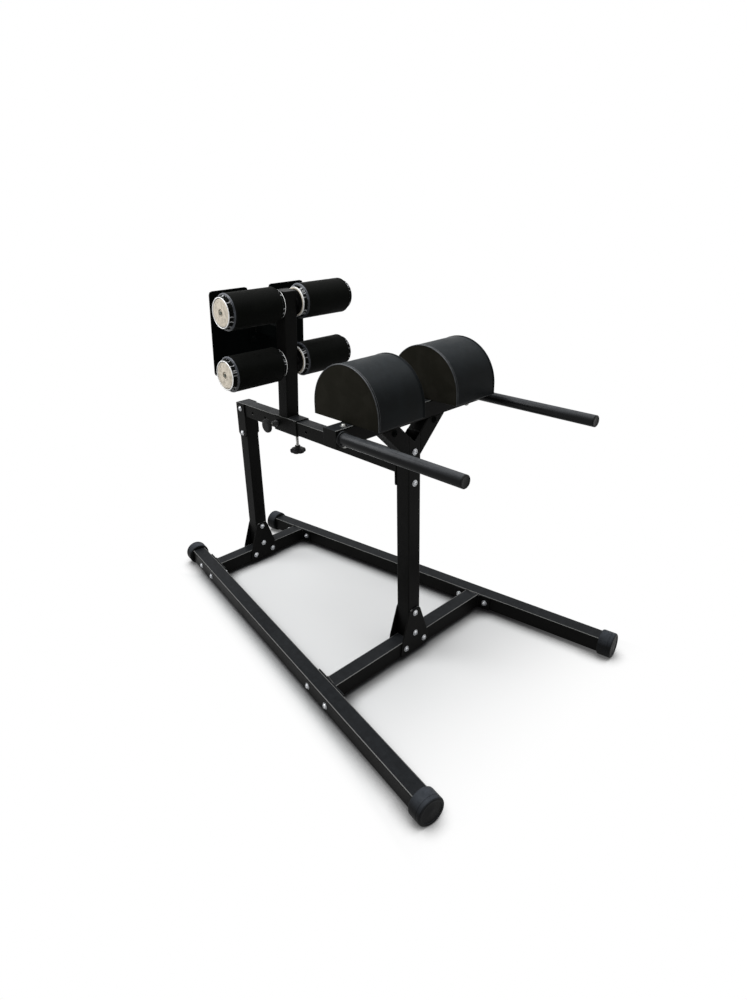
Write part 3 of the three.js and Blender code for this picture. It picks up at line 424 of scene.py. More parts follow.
# %% Metals and nylon
zinc_plate = finish(
    "zinc_plate", (0.5, 0.51, 0.52), (0.36, 0.37, 0.39), (0.85, 0.86, 0.88), (0.55, 0.55, 0.56),
    (0.28, 0.4), 1600, 0.2, edge=0.0008, patch_scale=60, dust_and_top_light_amount=0.2, metal=1.0, specular=0.5)
black_oxide = finish(
    "black_oxide", (0.012, 0.012, 0.013), (0.02, 0.02, 0.021), (0.12, 0.12, 0.12),
    (0.03, 0.03, 0.03), (0.3, 0.4), 1600, 0.2, edge=0.0008, patch_scale=60, dust_and_top_light_amount=0.2)
dull_steel = finish(
    "dull_steel", (0.1, 0.11, 0.085), (0.05, 0.055, 0.045), (0.3, 0.3, 0.28), (0.16, 0.165, 0.14),
    (0.4, 0.5), 1400, 0.3, worn_and_lit_strength=1.0, edge=0.001, patch_scale=90, dust_and_top_light_amount=0.3, specular=0.4)
turned_steel = finish(
    "turned_steel", (0.3, 0.3, 0.285), (0.22, 0.225, 0.21), (0.5, 0.5, 0.5), (0.25, 0.25, 0.25),
    (0.34, 0.46), 1400, 0.3, edge=0.0008, patch_scale=50, dust_and_top_light_amount=0.2, metal=1.0, specular=0.5)
cream_nylon = finish(
    "cream_nylon", (0.62, 0.555, 0.455), (0.43, 0.385, 0.315), (0.8, 0.77, 0.72), (0.62, 0.58, 0.5),
    (0.42, 0.55), 700, 0.3, worn_and_lit_strength=1.2, edge=0.0015, patch_scale=70, specular=0.4)
white_rim = finish(
    "white_rim", (0.93, 0.925, 0.91), (0.78, 0.77, 0.75), (0.95, 0.95, 0.94), (0.93, 0.93, 0.92),
    (0.2, 0.3), 900, 0.2, worn_and_lit_strength=0.6, edge=0.001, patch_scale=45, specular=0.6)
print("finishes:", len(bpy.data.materials))

# %% [markdown]
# Birch plywood needs its own finish: thin veneers of turning grain show as stripes on every
# edge. A stack of real sheets would be many faces for a board that only shows from below, so
# a wave texture across the thickness paints them.

# %% Birch plywood
PALE_WOOD, WARM_WOOD, DARK_VENEER = (0.58, 0.43, 0.27), (0.36, 0.24, 0.13), (0.24, 0.15, 0.08)
birch_board, tree, shader = start_material("birch_plywood")
place = object_place(tree)
stretch = add_node(tree, "ShaderNodeMapping", {"Vector": place, "Scale": (6, 60, 60)})
fibres = add_node(tree, "ShaderNodeTexNoise", {
    "Vector": stretch.outputs[0], "Scale": 6.0, "Detail": 6.0, "Roughness": 0.6}).outputs["Fac"]
veneers = add_node(tree, "ShaderNodeTexWave", {"Vector": place, "Scale": 100.0, "Distortion": 0.4},
                   bands_direction="Z")
striped = work_out(tree, "MULTIPLY", veneers.outputs["Fac"], 0.45)
wood = mix_colour(tree, striped, mix_colour(tree, fibres, WARM_WOOD, PALE_WOOD), DARK_VENEER)
relief = add_node(tree, "ShaderNodeBump", {"Strength": 0.3, "Distance": 0.0003, "Height": fibres})
feed(tree, shader, {"Base Color": wood, "Roughness": 0.7, "Normal": relief.outputs["Normal"]})
print("finish:", birch_board.name)

# %% [markdown]
# ## Tubes and plates
# Rails, cross tubes, uprights, gussets, beam, struts, crossbar, sleeve, post and foot plate are
# welded and drilled steel. Their solids already have the right walls, corners and holes, so
# they stay and only their material slots change.

# %% Dress the solids that stay
OWN_FINISH = {"left_pad_board": birch_board, "right_pad_board": birch_board, "foot_plate": plate_paint,
              "foot_plate_arm": plate_paint, "left_strut": flat_paint, "right_strut": flat_paint,
              "foot_post": flat_paint}
for name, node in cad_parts.items():
    for slot in node.material_slots:
        slot.link = "OBJECT"
        slot.material = OWN_FINISH.get(name, black_paint)
print("dressed:", len(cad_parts), "solids")

# %% [markdown]
# ## Making tools
# Most of the new pieces are round, so one tool makes them as a lathe would: a circle is added,
# and its rim is drawn out and scaled from one station to the next. Stations are pairs of radius
# and place along the axis, in millimetres. Other tools round the edges, turn a line of points
# into a cord, and lay a piece where it belongs and move that place into its mesh. The foot post
# leans forward by four degrees, so what it carries is laid out upright and tipped afterwards.

# %% Tools for selecting


def deselect():
    if bpy.context.object and bpy.context.object.mode != "OBJECT":
        bpy.ops.object.mode_set(mode="OBJECT")
    bpy.ops.object.select_all(action="DESELECT")


def only(piece):
    deselect()
    piece.select_set(True)
    bpy.context.view_layer.objects.active = piece
    return piece


def open_up(piece):
    """Takes a piece into edit mode with all of it selected."""
    only(piece)
    bpy.ops.object.mode_set(mode="EDIT")
    bpy.ops.mesh.select_mode(type="VERT")
    bpy.ops.mesh.select_all(action="SELECT")


def done(piece):
    """Leaves edit mode."""
    bpy.ops.object.mode_set(mode="OBJECT")
    return piece


def pick(piece, kind, test):
    """In edit mode, selects the vertices, edges or faces that pass a test."""
    bpy.ops.mesh.select_mode(type=kind)
    bpy.ops.mesh.select_all(action="DESELECT")
    mesh = bmesh.from_edit_mesh(piece.data)
    parts = {"VERT": mesh.verts, "EDGE": mesh.edges, "FACE": mesh.faces}[kind]
    found = [part for part in parts if test(part)]
    for part in found:
        part.select_set(True)
    bmesh.update_edit_mesh(piece.data)
    return len(found)


def settle(name):
    """Names the piece just added and moves its place, turn and size into its mesh."""
    piece = bpy.context.object
    piece.name = name
    bpy.ops.object.transform_apply(location=True, rotation=True, scale=True)
    return piece


def discard(*pieces):
    for piece in pieces:
        bpy.data.objects.remove(piece)


print("selecting tools ready")

# %% Tools for shaping


def close_up(piece):
    """Merges doubles and turns every face outward."""
    open_up(piece)
    bpy.ops.mesh.remove_doubles(threshold=1e-6)
    bpy.ops.mesh.normals_make_consistent(inside=False)
    return done(piece)


def draw_out(reach):
    """Extrudes the selected rim along Z, by a reach in mm."""
    bpy.ops.mesh.extrude_edges_move(TRANSFORM_OT_translate={"value": (0, 0, reach * MM)})


def lathe(name, stations, sides=48):
    """A round piece about the Z axis. A first or last radius of 0 closes that end."""
    deselect()
    open_stations = [s for s in stations if s[0] > 0]
    radius, height = open_stations[0]
    fill = "TRIFAN" if stations[0][0] == 0 else "NOTHING"
    bpy.ops.mesh.primitive_circle_add(vertices=sides, radius=radius * MM, fill_type=fill,
                                      location=(0, 0, height * MM))
    piece = settle(name)
    open_up(piece)
    pick(piece, "EDGE", lambda e: all(v.co.xy.length > radius * MM * 0.9 for v in e.verts))
    for (r0, z0), (r1, z1) in zip(open_stations, open_stations[1:]):
        draw_out(z1 - z0)
        if r1 != r0:
            bpy.ops.transform.resize(value=(r1 / r0, r1 / r0, 1), center_override=(0, 0, z1 * MM))
    if stations[-1][0] == 0:
        draw_out(0)
        bpy.ops.mesh.merge(type="CENTER")
    return close_up(piece)


def bar(name, radius, bottom, top, sides=16):
    return lathe(name, [(0, bottom), (radius, bottom), (radius, top), (0, top)], sides)


def draw_in(piece, factor, test):
    """Scales the points that pass a test towards the Z axis."""
    open_up(piece)
    found = pick(piece, "VERT", test)
    bpy.ops.transform.resize(value=(factor, factor, 1), center_override=(0, 0, 0))
    done(piece)
    return found


def cut_below(piece, height=0.0, fill=True):
    """Cuts off all that lies below a height in mm, and stays in edit mode."""
    open_up(piece)
    bpy.ops.mesh.bisect(plane_co=(0, 0, height * MM), plane_no=(0, 0, -1), clear_outer=True,
                        use_fill=fill)


def apply_all(piece):
    only(piece)
    for modifier in list(piece.modifiers):
        bpy.ops.object.modifier_apply(modifier=modifier.name)
    return piece


def round_edges(piece, width, segments=2, angle=35):
    bevel = piece.modifiers.new("round_edges", "BEVEL")
    bevel.width = width * MM
    bevel.segments = segments
    bevel.limit_method = "ANGLE"
    bevel.angle_limit = math.radians(angle)
    bevel.use_clamp_overlap = True
    return apply_all(piece)


def carve(piece, cutter):
    cut = piece.modifiers.new("cut", "BOOLEAN")
    cut.operation = "DIFFERENCE"
    cut.solver = "EXACT"
    cut.object = cutter
    apply_all(piece)
    discard(cutter)
    return piece


def smooth(piece, angle=38):
    only(piece)
    bpy.ops.object.shade_smooth_by_angle(angle=math.radians(angle))
    return piece


def corded(line, name, thick, resolution, narrow=1.0):
    """Turns a line of points into a round cord. Every other point may be narrower."""
    only(line)
    bpy.ops.object.convert(target="CURVE")
    curve = bpy.context.object.data
    curve.bevel_depth = thick / 2 * MM
    curve.bevel_resolution = resolution
    curve.use_fill_caps = True
    for spline in curve.splines:
        for number, point in enumerate(spline.points):
            point.radius = 1.0 if number % 2 else narrow
    bpy.ops.object.convert(target="MESH")
    cord = bpy.context.object
    cord.name = name
    return close_up(cord)


print("shaping tools ready")

# %% Tools for placing
FOOT, LEAN = Vector((-359, 0, 816)) * MM, math.radians(4.2)


def move_to(piece, matrix):
    """Places a piece and moves that place into its mesh."""
    only(piece).matrix_world = matrix
    bpy.ops.object.transform_apply(location=True, rotation=True, scale=True)
    return piece


def lay(piece, place, toward=(0, 0, 1), spin=0.0):
    """Spins a piece made along Z, turns it towards a direction and moves it to a place in mm."""
    turn = Vector((0, 0, 1)).rotation_difference(Vector(toward).normalized()).to_matrix().to_4x4()
    spun = turn @ Matrix.Rotation(spin, 4, "Z")
    return move_to(piece, Matrix.Translation(Vector(place) * MM) @ spun)


def lean(piece):
    """Tips a piece forward with the foot post, about the foot of the post."""
    tip = Matrix.Rotation(LEAN, 4, "Y")
    return move_to(piece, Matrix.Translation(FOOT) @ tip @ Matrix.Translation(-FOOT))


def copy_of(piece, name):
    """A copy with a mesh of its own."""
    twin = piece.copy()
    twin.data = piece.data.copy()
    twin.name = name
    scene.collection.objects.link(twin)
    return twin


def join(name, *pieces):
    deselect()
    for piece in pieces:
        piece.select_set(True)
    bpy.context.view_layer.objects.active = pieces[0]
    bpy.ops.object.join()
    pieces[0].name = name
    return pieces[0]


def paint(piece, *finishes):
    """Gives a piece its finishes. All of it starts with the first one."""
    piece.data.materials.clear()
    for material in finishes:
        piece.data.materials.append(material)
    return piece


def hand_over(piece, body, slot, *covered):
    """Names the body a piece moves with and hides the solids it stands for. The finish given as slot
    is not used.
    """
    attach(piece, body)
    if covered:
        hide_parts(*covered)
    return piece


print("placing tools ready")

# %% [markdown]
# ## Bolts
# The frame is held by zinc-plated button-head screws with a hexagon socket, a flat washer at
# each end and a lock nut. A bolt could be one lathe piece, but the socket and the nut are
# hexagons, so a six-sided cylinder cuts the socket and starts the nut. Head and nut are made
# once, then copied for every hole and joined by a shank as long as the grip.

# %% Button head
HEAD_RADIUS, HEAD_HEIGHT = 9, 6
WASHER_RADIUS, WASHER_BORE, WASHER = 12, 5.4, 2
SHANK = 4.9


def hex_prism(name, radius, bottom, top):
    deselect()
    bpy.ops.mesh.primitive_cylinder_add(vertices=6, radius=radius * MM, depth=(top - bottom) * MM,
                                        location=(0, 0, (top + bottom) / 2 * MM))
    return settle(name)


def washer(name, bottom, thick=WASHER - 0.2):
    top = bottom + thick
    made = lathe(name, [(WASHER_BORE, bottom), (WASHER_RADIUS, bottom), (WASHER_RADIUS, top),
                        (WASHER_BORE, top), (WASHER_BORE, bottom)], 28)
    return round_edges(made, 0.45, 1)


crown = WASHER + HEAD_HEIGHT
dome = lathe("button_head", [
    (0, WASHER), (HEAD_RADIUS - 0.6, WASHER), (HEAD_RADIUS, WASHER + 0.7),
    (HEAD_RADIUS * 0.97, WASHER + 1.9), (HEAD_RADIUS * 0.86, WASHER + HEAD_HEIGHT * 0.6),
    (HEAD_RADIUS * 0.66, WASHER + HEAD_HEIGHT * 0.86),
    (HEAD_RADIUS * 0.56, WASHER + HEAD_HEIGHT * 0.96), (0, crown)], 28)
carve(dome, hex_prism("socket_cutter", HEAD_RADIUS * 0.42, WASHER + HEAD_HEIGHT * 0.35, crown + 2))
head_master = join("bolt_head", dome, washer("head_washer", 0.1))
paint(smooth(head_master), zinc_plate)
print("bolt head:", len(head_master.data.polygons), "faces")

# %% Lock nut
NUT_RADIUS, NUT_HEIGHT, COLLAR_BORE = 9.5, 6, 5.2
NUT_END = -WASHER - NUT_HEIGHT


def thread_stations(radius, bottom, top, pitch=1.5, depth=0.55):
    """Rings at the pitch of a thread."""
    stations = []
    place = bottom
    while place + pitch <= top:
        stations += [(radius - depth, place), (radius, place + pitch / 2)]
        place += pitch
    return stations + [(radius - depth, place)]


nut_body = round_edges(hex_prism("lock_nut", NUT_RADIUS, NUT_END, -WASHER), 0.5, 1)
nut_collar = lathe("nut_collar", [
    (COLLAR_BORE, NUT_END), (8, NUT_END), (7.6, -WASHER - 7.8), (6.4, -WASHER - 8.4),
    (COLLAR_BORE, -WASHER - 8.2), (COLLAR_BORE, NUT_END)], 28)
bolt_end = lathe("bolt_end", [(0, -12), (3.9, -12), *thread_stations(SHANK, -11.6, -6), (0, -6)], 20)
nut_master = join("bolt_nut", nut_body, nut_collar, bolt_end, washer("nut_washer", -WASHER + 0.1))
paint(smooth(nut_master), zinc_plate)
print("bolt nut:", len(nut_master.data.polygons), "faces")

# %% Beam and strut bolts
AHEAD_X, UP_Z = (1, 0, 0), (0, 0, 1)


def through_bolt(name, seat, toward, grip, metal=zinc_plate):
    """A bolt whose head seats at a point and faces a direction; its grip runs back from there."""
    head = copy_of(head_master, name)
    nut = lay(copy_of(nut_master, name + "_nut"), (0, 0, -grip))
    shank = bar(name + "_shank", SHANK, -grip - WASHER - 5, WASHER + 1)
    return lay(paint(join(name, head, nut, smooth(shank)), metal), seat, toward)


def frame_bolt(name, seat, toward, grip, *covered, metal=zinc_plate):
    bolt = through_bolt(name, seat, toward, grip, metal)
    hand_over(bolt, "frame", "zinc_plate", *covered)


for name, height in {"lower_bracket_bolt": 670, "upper_bracket_bolt": 786.5}.items():
    frame_bolt("bolt_" + name, (-681, -35.3, height), (0, -1, 0), 70.6, name)
for name, height in {"lower_flange_bolt": 722, "upper_flange_bolt": 839}.items():
    frame_bolt("bolt_" + name, (356, 0, height), AHEAD_X, 66.3, name)
for side, sign in SIDES.items():
    frame_bolt(f"bolt_{side}_strut", (356, sign * 97.5, 931), AHEAD_X, 60, f"{side}_strut_bolt",
               metal=plate_paint)
print("beam and strut bolts:", 6)

# %% [markdown]
# The floor frame has sixteen more bolts: two through every end of a cross tube into a rail, and
# four through each pair of gussets. They follow the splay of the rails.

# %% Rail and gusset bolts
RAIL_Z, RAIL_Y, SPLAY = 47, 378.5, math.radians(8.88)
UPRIGHT_X = {"front": 326, "rear": -681}
GUSSET_BOLTS, GUSSET_GRIP = ((0, 186), (0, 96), (49.5, 47), (-49.5, 47)), 70.6


def rail_point(sign, along, across):
    """A point of a floor rail, from the middle of the machine: along the rail and outward from it."""
    turn = Matrix.Rotation(sign * SPLAY, 3, "Z")
    return turn @ Vector((along, sign * across, 0)) + Vector((0, sign * RAIL_Y, RAIL_Z)), turn


for side, sign in SIDES.items():
    for number, along in enumerate((384.8, 264.8, -634.4, -754.4)):
        seat, turn = rail_point(sign, along, 30)
        frame_bolt(f"{side}_rail_bolt_{number + 1}", seat, turn @ Vector((0, sign, 0)), 65.3)
for foot, cross_x in UPRIGHT_X.items():
    for number, (y, z) in enumerate(GUSSET_BOLTS):
        seat = (cross_x + GUSSET_GRIP / 2, y, z)
        frame_bolt(f"{foot}_gusset_bolt_{number + 1}", seat, AHEAD_X, GUSSET_GRIP)
print("rail and gusset bolts:", 16)

# %% [markdown]
# On top of the crossbar, beside each handle, a bolt with a wide washer clamps the handle. The
# pads are held from below through the crossbar, and the foot plate is bolted to its arm with
# bolts in the same black coat. The arm itself is welded to the post.

# %% Crossbar and foot plate bolts
PLATE_BOLTS = ((40, 1115), (-40, 1115), (40, 1215), (-40, 1215))


def screw_up(name, seat, toward, length):
    """A screw without a nut: its head seats at a point and its shank runs back into the piece."""
    head = copy_of(head_master, name)
    shank = lathe(name + "_shank", [
        (0, -length), (SHANK - 1, -length), (SHANK, 1 - length), (SHANK, WASHER + 1),
        (0, WASHER + 1)], 16)
    return lay(paint(join(name, head, smooth(shank)), zinc_plate), seat, toward)


for side, sign in SIDES.items():
    frame_bolt(f"{side}_clamp_bolt", (336, sign * 299, 1004), UP_Z, 60, metal=turned_steel)
for side, sign in SIDES.items():
    for number, y in enumerate((123.5, 233.5)):
        screw = screw_up(f"{side}_pad_screw_{number + 1}", (326, sign * y, 944), (0, 0, -1), 73)
        hand_over(screw, "frame", "zinc_plate")
for number, (y, z) in enumerate(PLATE_BOLTS):
    bolt = through_bolt(f"foot_plate_bolt_{number + 1}", (-537.7, y, z), AHEAD_X, 10.3, plate_paint)
    hand_over(lean(bolt), "carriage", "zinc_plate")

# %% [markdown]
# ## Rail caps
# Each rail ends in a round rubber cap that is also a foot: a square socket takes the tube, the
# front edge is well rounded, and the face is dished. It could be a squashed cylinder, but a
# lathe with stations gives the dish, the groove and the shoulder, a bisect makes the flat foot,
# and a boolean cuts the socket.

# %% Rail caps
CAP_LENGTH, RAIL_END = 52, 912.5
SOCKET_LOW, SOCKET_HIGH = (-30.3, -30.3, -60), (30.3, 30.3, -9)


def rounded_block(name, low, high, corner, segments=3):
    """A block between two corners in mm, with rounded edges."""
    deselect()
    size = [(b - a) * MM for a, b in zip(low, high)]
    middle = [(a + b) / 2 * MM for a, b in zip(low, high)]
    bpy.ops.mesh.primitive_cube_add(size=1, location=middle, scale=size)
    return round_edges(settle(name), corner, segments)


cap_master = lathe("cap_master", [
    (0, -CAP_LENGTH), (42, -CAP_LENGTH), (45.5, -51), (47.4, -48.6), (48, -45), (48, -16),
    (47.2, -15), (47.2, -13.4), (48, -12.4), (48, -6.4), (47.2, -3.2), (45, -1), (41.6, -0.1),
    (38, 0), (36.6, -0.5), (35.8, -1.8), (13, -2.4), (11.6, -2.1), (0, -2.1)], 72)
carve(cap_master, rounded_block("socket", SOCKET_LOW, SOCKET_HIGH, 4))
paint(smooth(cap_master, 30), cap_rubber)
for side, sign in SIDES.items():
    for end, way in (("front", 1), ("rear", -1)):
        place, turn = rail_point(sign, way * RAIL_END, 0)
        cap = lay(copy_of(cap_master, f"{side}_{end}_cap"), place, turn @ Vector((way, 0, 0)))
        cut_below(cap)
        hand_over(done(cap), "frame", "grey_rubber", f"{side}_{end}_rail_cap")
discard(cap_master)
print("rail caps:", 4)

# %% [markdown]
# ## Handles
# The long handles are round tube with a collar where they meet the crossbar and a plug in the
# tip. The plug sits in the tube with a rim outside, which shows as a fine dark ring. Both are
# plain round forms, so the lathe makes them from one outline each.

# %% Handles and plugs
HANDLE_Y, HANDLE_Z, HANDLE_TIP = 325, 974, 825
handle_master = lathe("handle_master", [
    (17, 316), (19.5, 316), (19.5, 356.3), (24.2, 356.3), (25, 357.1), (25, 361.1), (24.2, 362.1),
    (20.6, 362.3), (19.5, 363.7), (19.5, 824.2), (19, HANDLE_TIP), (17, HANDLE_TIP), (17, 316)], 48)
round_edges(handle_master, 0.4, 1, 50)
paint(smooth(handle_master, 35), handle_coat)
plug_master = lathe("plug_master", [
    (0, -18), (14.6, -18), (16.6, -15), (16.6, 0.3), (18.6, 0.3), (19.4, 0.9), (19.4, 1.8),
    (18.4, 3), (15.4, 3.3), (14.6, 2.6), (13.6, 2.2), (0, 2.2)], 48)
paint(smooth(plug_master, 35), black_plastic)
for side, sign in SIDES.items():
    y = sign * HANDLE_Y
    handle = lay(copy_of(handle_master, f"{side}_handle_tube"), (0, y, HANDLE_Z), AHEAD_X)
    hand_over(handle, "frame", "black_paint", f"{side}_handle")
    plug = lay(copy_of(plug_master, f"{side}_handle_end"), (HANDLE_TIP, y, HANDLE_Z), AHEAD_X)
    hand_over(plug, "frame", "black_plastic", f"{side}_handle_plug")
discard(handle_master, plug_master)
print("handles:", 2)

# %% [markdown]
# ## Thigh pads
# Each pad is a half-round block of foam on a board, covered with vinyl: a long strip over the curve, a
# flat panel on each face, and a welt sewn in between. The panels on the faces are a warmer, brighter
# copy of the cover vinyl, painted side light, and the welt on the right-hand face is pale, a painted
# highlight. The foam pushes the cover out between its seams. The shape could be lofted by hand, but
# cloth with a little pressure swells as a stuffed cover does, so the blank is simulated with its base
# and seams held, and the welts are laid on afterwards.

# %% Pad blank
PAD_X, PAD_Y, PAD_RADIUS = 321, 178.5, 151
PAD_CENTRE, PAD_BASE, PAD_WIDTH = 1041, 1004.3, 207
SWELL, VOXEL = 3.0, 0.005
BLANK_RADIUS, BLANK_HALF = PAD_RADIUS - SWELL, PAD_WIDTH / 2 - SWELL
ON_SIDE = (math.pi / 2, 0, 0)

deselect()
bpy.ops.mesh.primitive_cylinder_add(vertices=96, radius=BLANK_RADIUS * MM, depth=2 * BLANK_HALF * MM,
                                    location=(0, 0, PAD_CENTRE * MM), rotation=ON_SIDE)
pad = settle("thigh_pad")
cut_below(pad, PAD_CENTRE)
pick(pad, "FACE", lambda f: f.normal.z < -0.9)
bpy.ops.mesh.extrude_region_move(
    TRANSFORM_OT_translate={"value": (0, 0, (PAD_BASE - PAD_CENTRE) * MM)})
round_edges(close_up(pad), 2.5, 2, 60)
pad.data.remesh_voxel_size = VOXEL
bpy.ops.object.voxel_remesh()
print("pad blank:", len(pad.data.vertices), "points")

# %% Swell the pad
BASE_HELD, SEAM_HELD, FACE_DEPTH = 6, 5, 12


def seam_distance(point):
    """How far a point of the blank is from the edge between cover and face, in mm."""
    x, y, z = (v / MM for v in point)
    reach = math.hypot(x, z - PAD_CENTRE) if z > PAD_CENTRE else abs(x)
    return math.hypot(BLANK_HALF - abs(y), BLANK_RADIUS - reach)


def swell(piece, held, pressure, most, frames=20):
    """Cloth under pressure. Held points stay, and no point moves more than the most, in mm."""
    before = [v.co.copy() for v in piece.data.vertices]
    group = piece.vertex_groups.new(name="held")
    group.add([v.index for v in piece.data.vertices if held(v.co)], 1.0, "REPLACE")
    cloth = piece.modifiers.new("swell", "CLOTH")
    cloth.settings.vertex_group_mass = "held"
    cloth.settings.use_pressure = True
    cloth.settings.uniform_pressure_force = pressure
    cloth.settings.mass = 0.3
    cloth.settings.tension_stiffness = cloth.settings.compression_stiffness = 20
    cloth.settings.bending_stiffness = 2
    cloth.settings.effector_weights.gravity = 0
    cloth.collision_settings.use_collision = False
    cloth.point_cache.frame_start, cloth.point_cache.frame_end = 1, frames
    for number in range(1, frames + 1):
        scene.frame_set(number)
    apply_all(piece)
    scene.frame_set(1)
    for vertex, start in zip(piece.data.vertices, before):
        move = vertex.co - start
        if move.length > most * MM:
            vertex.co = start + move * (most * MM / move.length)
    piece.vertex_groups.clear()


def pad_held(point):
    return point.z < (PAD_BASE + BASE_HELD) * MM or seam_distance(point) < SEAM_HELD


swell(pad, pad_held, 4.0, 5.0)
finer = pad.modifiers.new("finer", "SUBSURF")
finer.levels = finer.render_levels = 1
paint(apply_all(pad), cover_vinyl, warm_lit_side_vinyl)
# Faces that look sideways near the pad faces take the painted side light finish.
for face in pad.data.polygons:
    outer = abs(face.center.y) > (PAD_WIDTH / 2 - FACE_DEPTH) * MM
    face.material_index = 1 if abs(face.normal.y) > 0.75 and outer else 0
bpy.ops.object.shade_smooth()
print("pad:", len(pad.data.polygons), "faces")

# %% Welts round the faces


def seam_line(name, radius, y, thick, vinyl):
    """A cord of vinyl along the half-round outline of a pad face."""
    deselect()
    bpy.ops.mesh.primitive_circle_add(vertices=128, radius=radius * MM, rotation=ON_SIDE,
                                      location=(0, y * MM, PAD_CENTRE * MM))
    line = settle(name)
    cut_below(line, PAD_CENTRE, fill=False)
    pick(line, "VERT", lambda v: abs(v.co.z - PAD_CENTRE * MM) < 1e-6)
    bpy.ops.mesh.extrude_vertices_move(
        TRANSFORM_OT_translate={"value": (0, 0, (PAD_BASE + 2 - PAD_CENTRE) * MM)})
    return smooth(paint(corded(done(line), name, thick, 3), vinyl), 60)


welts = []
# The welt on the right-hand face is pale: a painted highlight.
for way, vinyl in ((1, cover_vinyl), (-1, lit_welt_vinyl)):
    welts.append(seam_line("welt_face", BLANK_RADIUS - 0.6, way * (BLANK_HALF - 0.6), 3.6, vinyl))
    welts.append(seam_line("welt_cover", BLANK_RADIUS + 0.4, way * (BLANK_HALF - 6.5), 1.6, vinyl))
pad_welt = join("pad_welt", *welts)
print("welts:", len(pad_welt.data.polygons), "faces")

# %% Lay both pads
for side, sign in SIDES.items():
    place = (PAD_X, sign * PAD_Y, 0)
    covered = lay(copy_of(pad, f"{side}_pad_cover"), place, spin=0 if sign > 0 else math.pi)
    hand_over(covered, "frame", "black_vinyl", f"{side}_thigh_pad")
    hand_over(lay(copy_of(pad_welt, f"{side}_pad_welts"), place), "frame", "black_vinyl")
discard(pad, pad_welt)
print("pads:", 2)

# %% [markdown]
# ## Foot rollers
# A roller is a foam sleeve in a black cover on a hub of two cream discs. The cover is longer
# than the foam: it is gathered in at both ends and tucked behind the discs, which gives a ring
# of small pleats and a rolled edge. The sleeve is drawn on the lathe with a dense grid. Two of
# every three lines of points are drawn in, each by a depth that a seeded draw picks, because
# hand-made gathers are never even. The long part swells as cloth between its held ends.

# %% Roller cover
PAD_START, PAD_END = 51.3, 287.2
CORE, DISC, COLUMNS = 24.3, 57.2, 96
GATHER = [(58, 1.5), (59.4, 4), (61.4, 6.5), (63.6, 8.8), (65.6, 10.6), (67.6, 11.8), (69, 13.2),
          (69.4, 15), (69.2, 17), (68.7, 18.6), (68.5, 20)]
MIDDLE_RADIUS, MIDDLE_INSET, ROWS = 68.9, 26, 30


def roller_stations():
    """The cover from its inner to its outer end; at both it also wraps the rim of a disc."""
    inner = [(CORE, PAD_START), (DISC, PAD_START), (DISC, 46.6), (58, 46.2), (58.3, 48)]
    low = [(radius, PAD_START + step) for radius, step in GATHER]
    high = [(radius, PAD_END - step) for radius, step in reversed(GATHER)]
    first, last = PAD_START + MIDDLE_INSET, PAD_END - MIDDLE_INSET
    middle = [(MIDDLE_RADIUS, first + (last - first) * n / ROWS) for n in range(ROWS + 1)]
    outer = [(58.4, 290), (58.2, 294), (DISC, 294.3), (DISC, PAD_END), (CORE, PAD_END),
             (CORE, PAD_START)]
    return inner + low + middle + high + outer


roller = lathe("roller_cover", roller_stations(), COLUMNS)
print("roller:", len(roller.data.vertices), "points")

# %% Pleats of the gathered ends
draw = random.Random(7)
DEPTHS, HIGHLIT_SHARE = (0.925, 0.945, 0.965, 0.985), 0.2
pleat_depth = [draw.choice(DEPTHS) for _ in range(COLUMNS)]
# A seeded share of the columns gets painted highlights on the pleats.
highlit_columns = {column for column in range(COLUMNS) if draw.random() < HIGHLIT_SHARE}


def from_end(place):
    """How far a place along the roller is from the nearer end of the foam, in mm."""
    return min(place / MM - PAD_START, PAD_END - place / MM)


def column_of(point, columns, half=0.0):
    """The column of faces a point is in or, with a half, the line of points it is on."""
    return math.floor(math.atan2(point.y, point.x) / math.tau * columns + half) % columns


def is_pleat(vertex, depth):
    column = column_of(vertex.co, COLUMNS, 0.5)
    inside = 1 < from_end(vertex.co.z) < 10 and vertex.co.xy.length > 0.0573
    return inside and column % 3 != 1 and pleat_depth[column] == depth


found = sum(draw_in(roller, depth, lambda v: is_pleat(v, depth)) for depth in DEPTHS)
print("pleated points:", found)

# %% Swell the roller
swell(roller, lambda p: from_end(p.z) < 19 or p.xy.length < 0.06, 2.0, 1.1)
# The gathers get pale streaks in the chosen columns: painted highlights on the pleats.
paint(roller, roller_cloth, rolled_edge_highlight, gather_ridge_highlight)
# The rolled edge takes the painted highlight finish.
for face in roller.data.polygons:
    depth, out = from_end(face.center.z), face.center.xy.length
    if 9.6 < depth < 13.4 and out > 0.06:
        face.material_index = 1
    elif -6.5 < depth < 9.5 and out > 0.055 and column_of(face.center, COLUMNS) in highlit_columns:
        face.material_index = 2
smooth(roller, 60)
print("roller:", len(roller.data.polygons), "faces")

# %% Seam of a roller
SEAM_RADIUS, SEAM_INSET, SEAM_STEPS = 69.3, 14, 34
deselect()
bpy.ops.mesh.primitive_plane_add(size=1, location=(0, 0, 0))
seam = bpy.context.object
open_up(seam)
bpy.ops.mesh.merge(type="CENTER")
bpy.ops.transform.translate(value=(SEAM_RADIUS * MM, 0, (PAD_START + SEAM_INSET) * MM))
rise = (PAD_END - PAD_START - 2 * SEAM_INSET) / SEAM_STEPS * MM
for number in range(SEAM_STEPS):
    sway = 0.0012 * math.sin(number * 0.9) + 0.0006 * math.sin(number * 2.3)
    bpy.ops.mesh.extrude_vertices_move(TRANSFORM_OT_translate={"value": (0, sway, rise)})
# The seam cord is in the lighter welt vinyl, with its painted light on top.
seam = smooth(paint(corded(done(seam), "sleeve_seam", 1.2, 2), lit_welt_vinyl), 60)
print("seam:", len(seam.data.polygons), "faces")

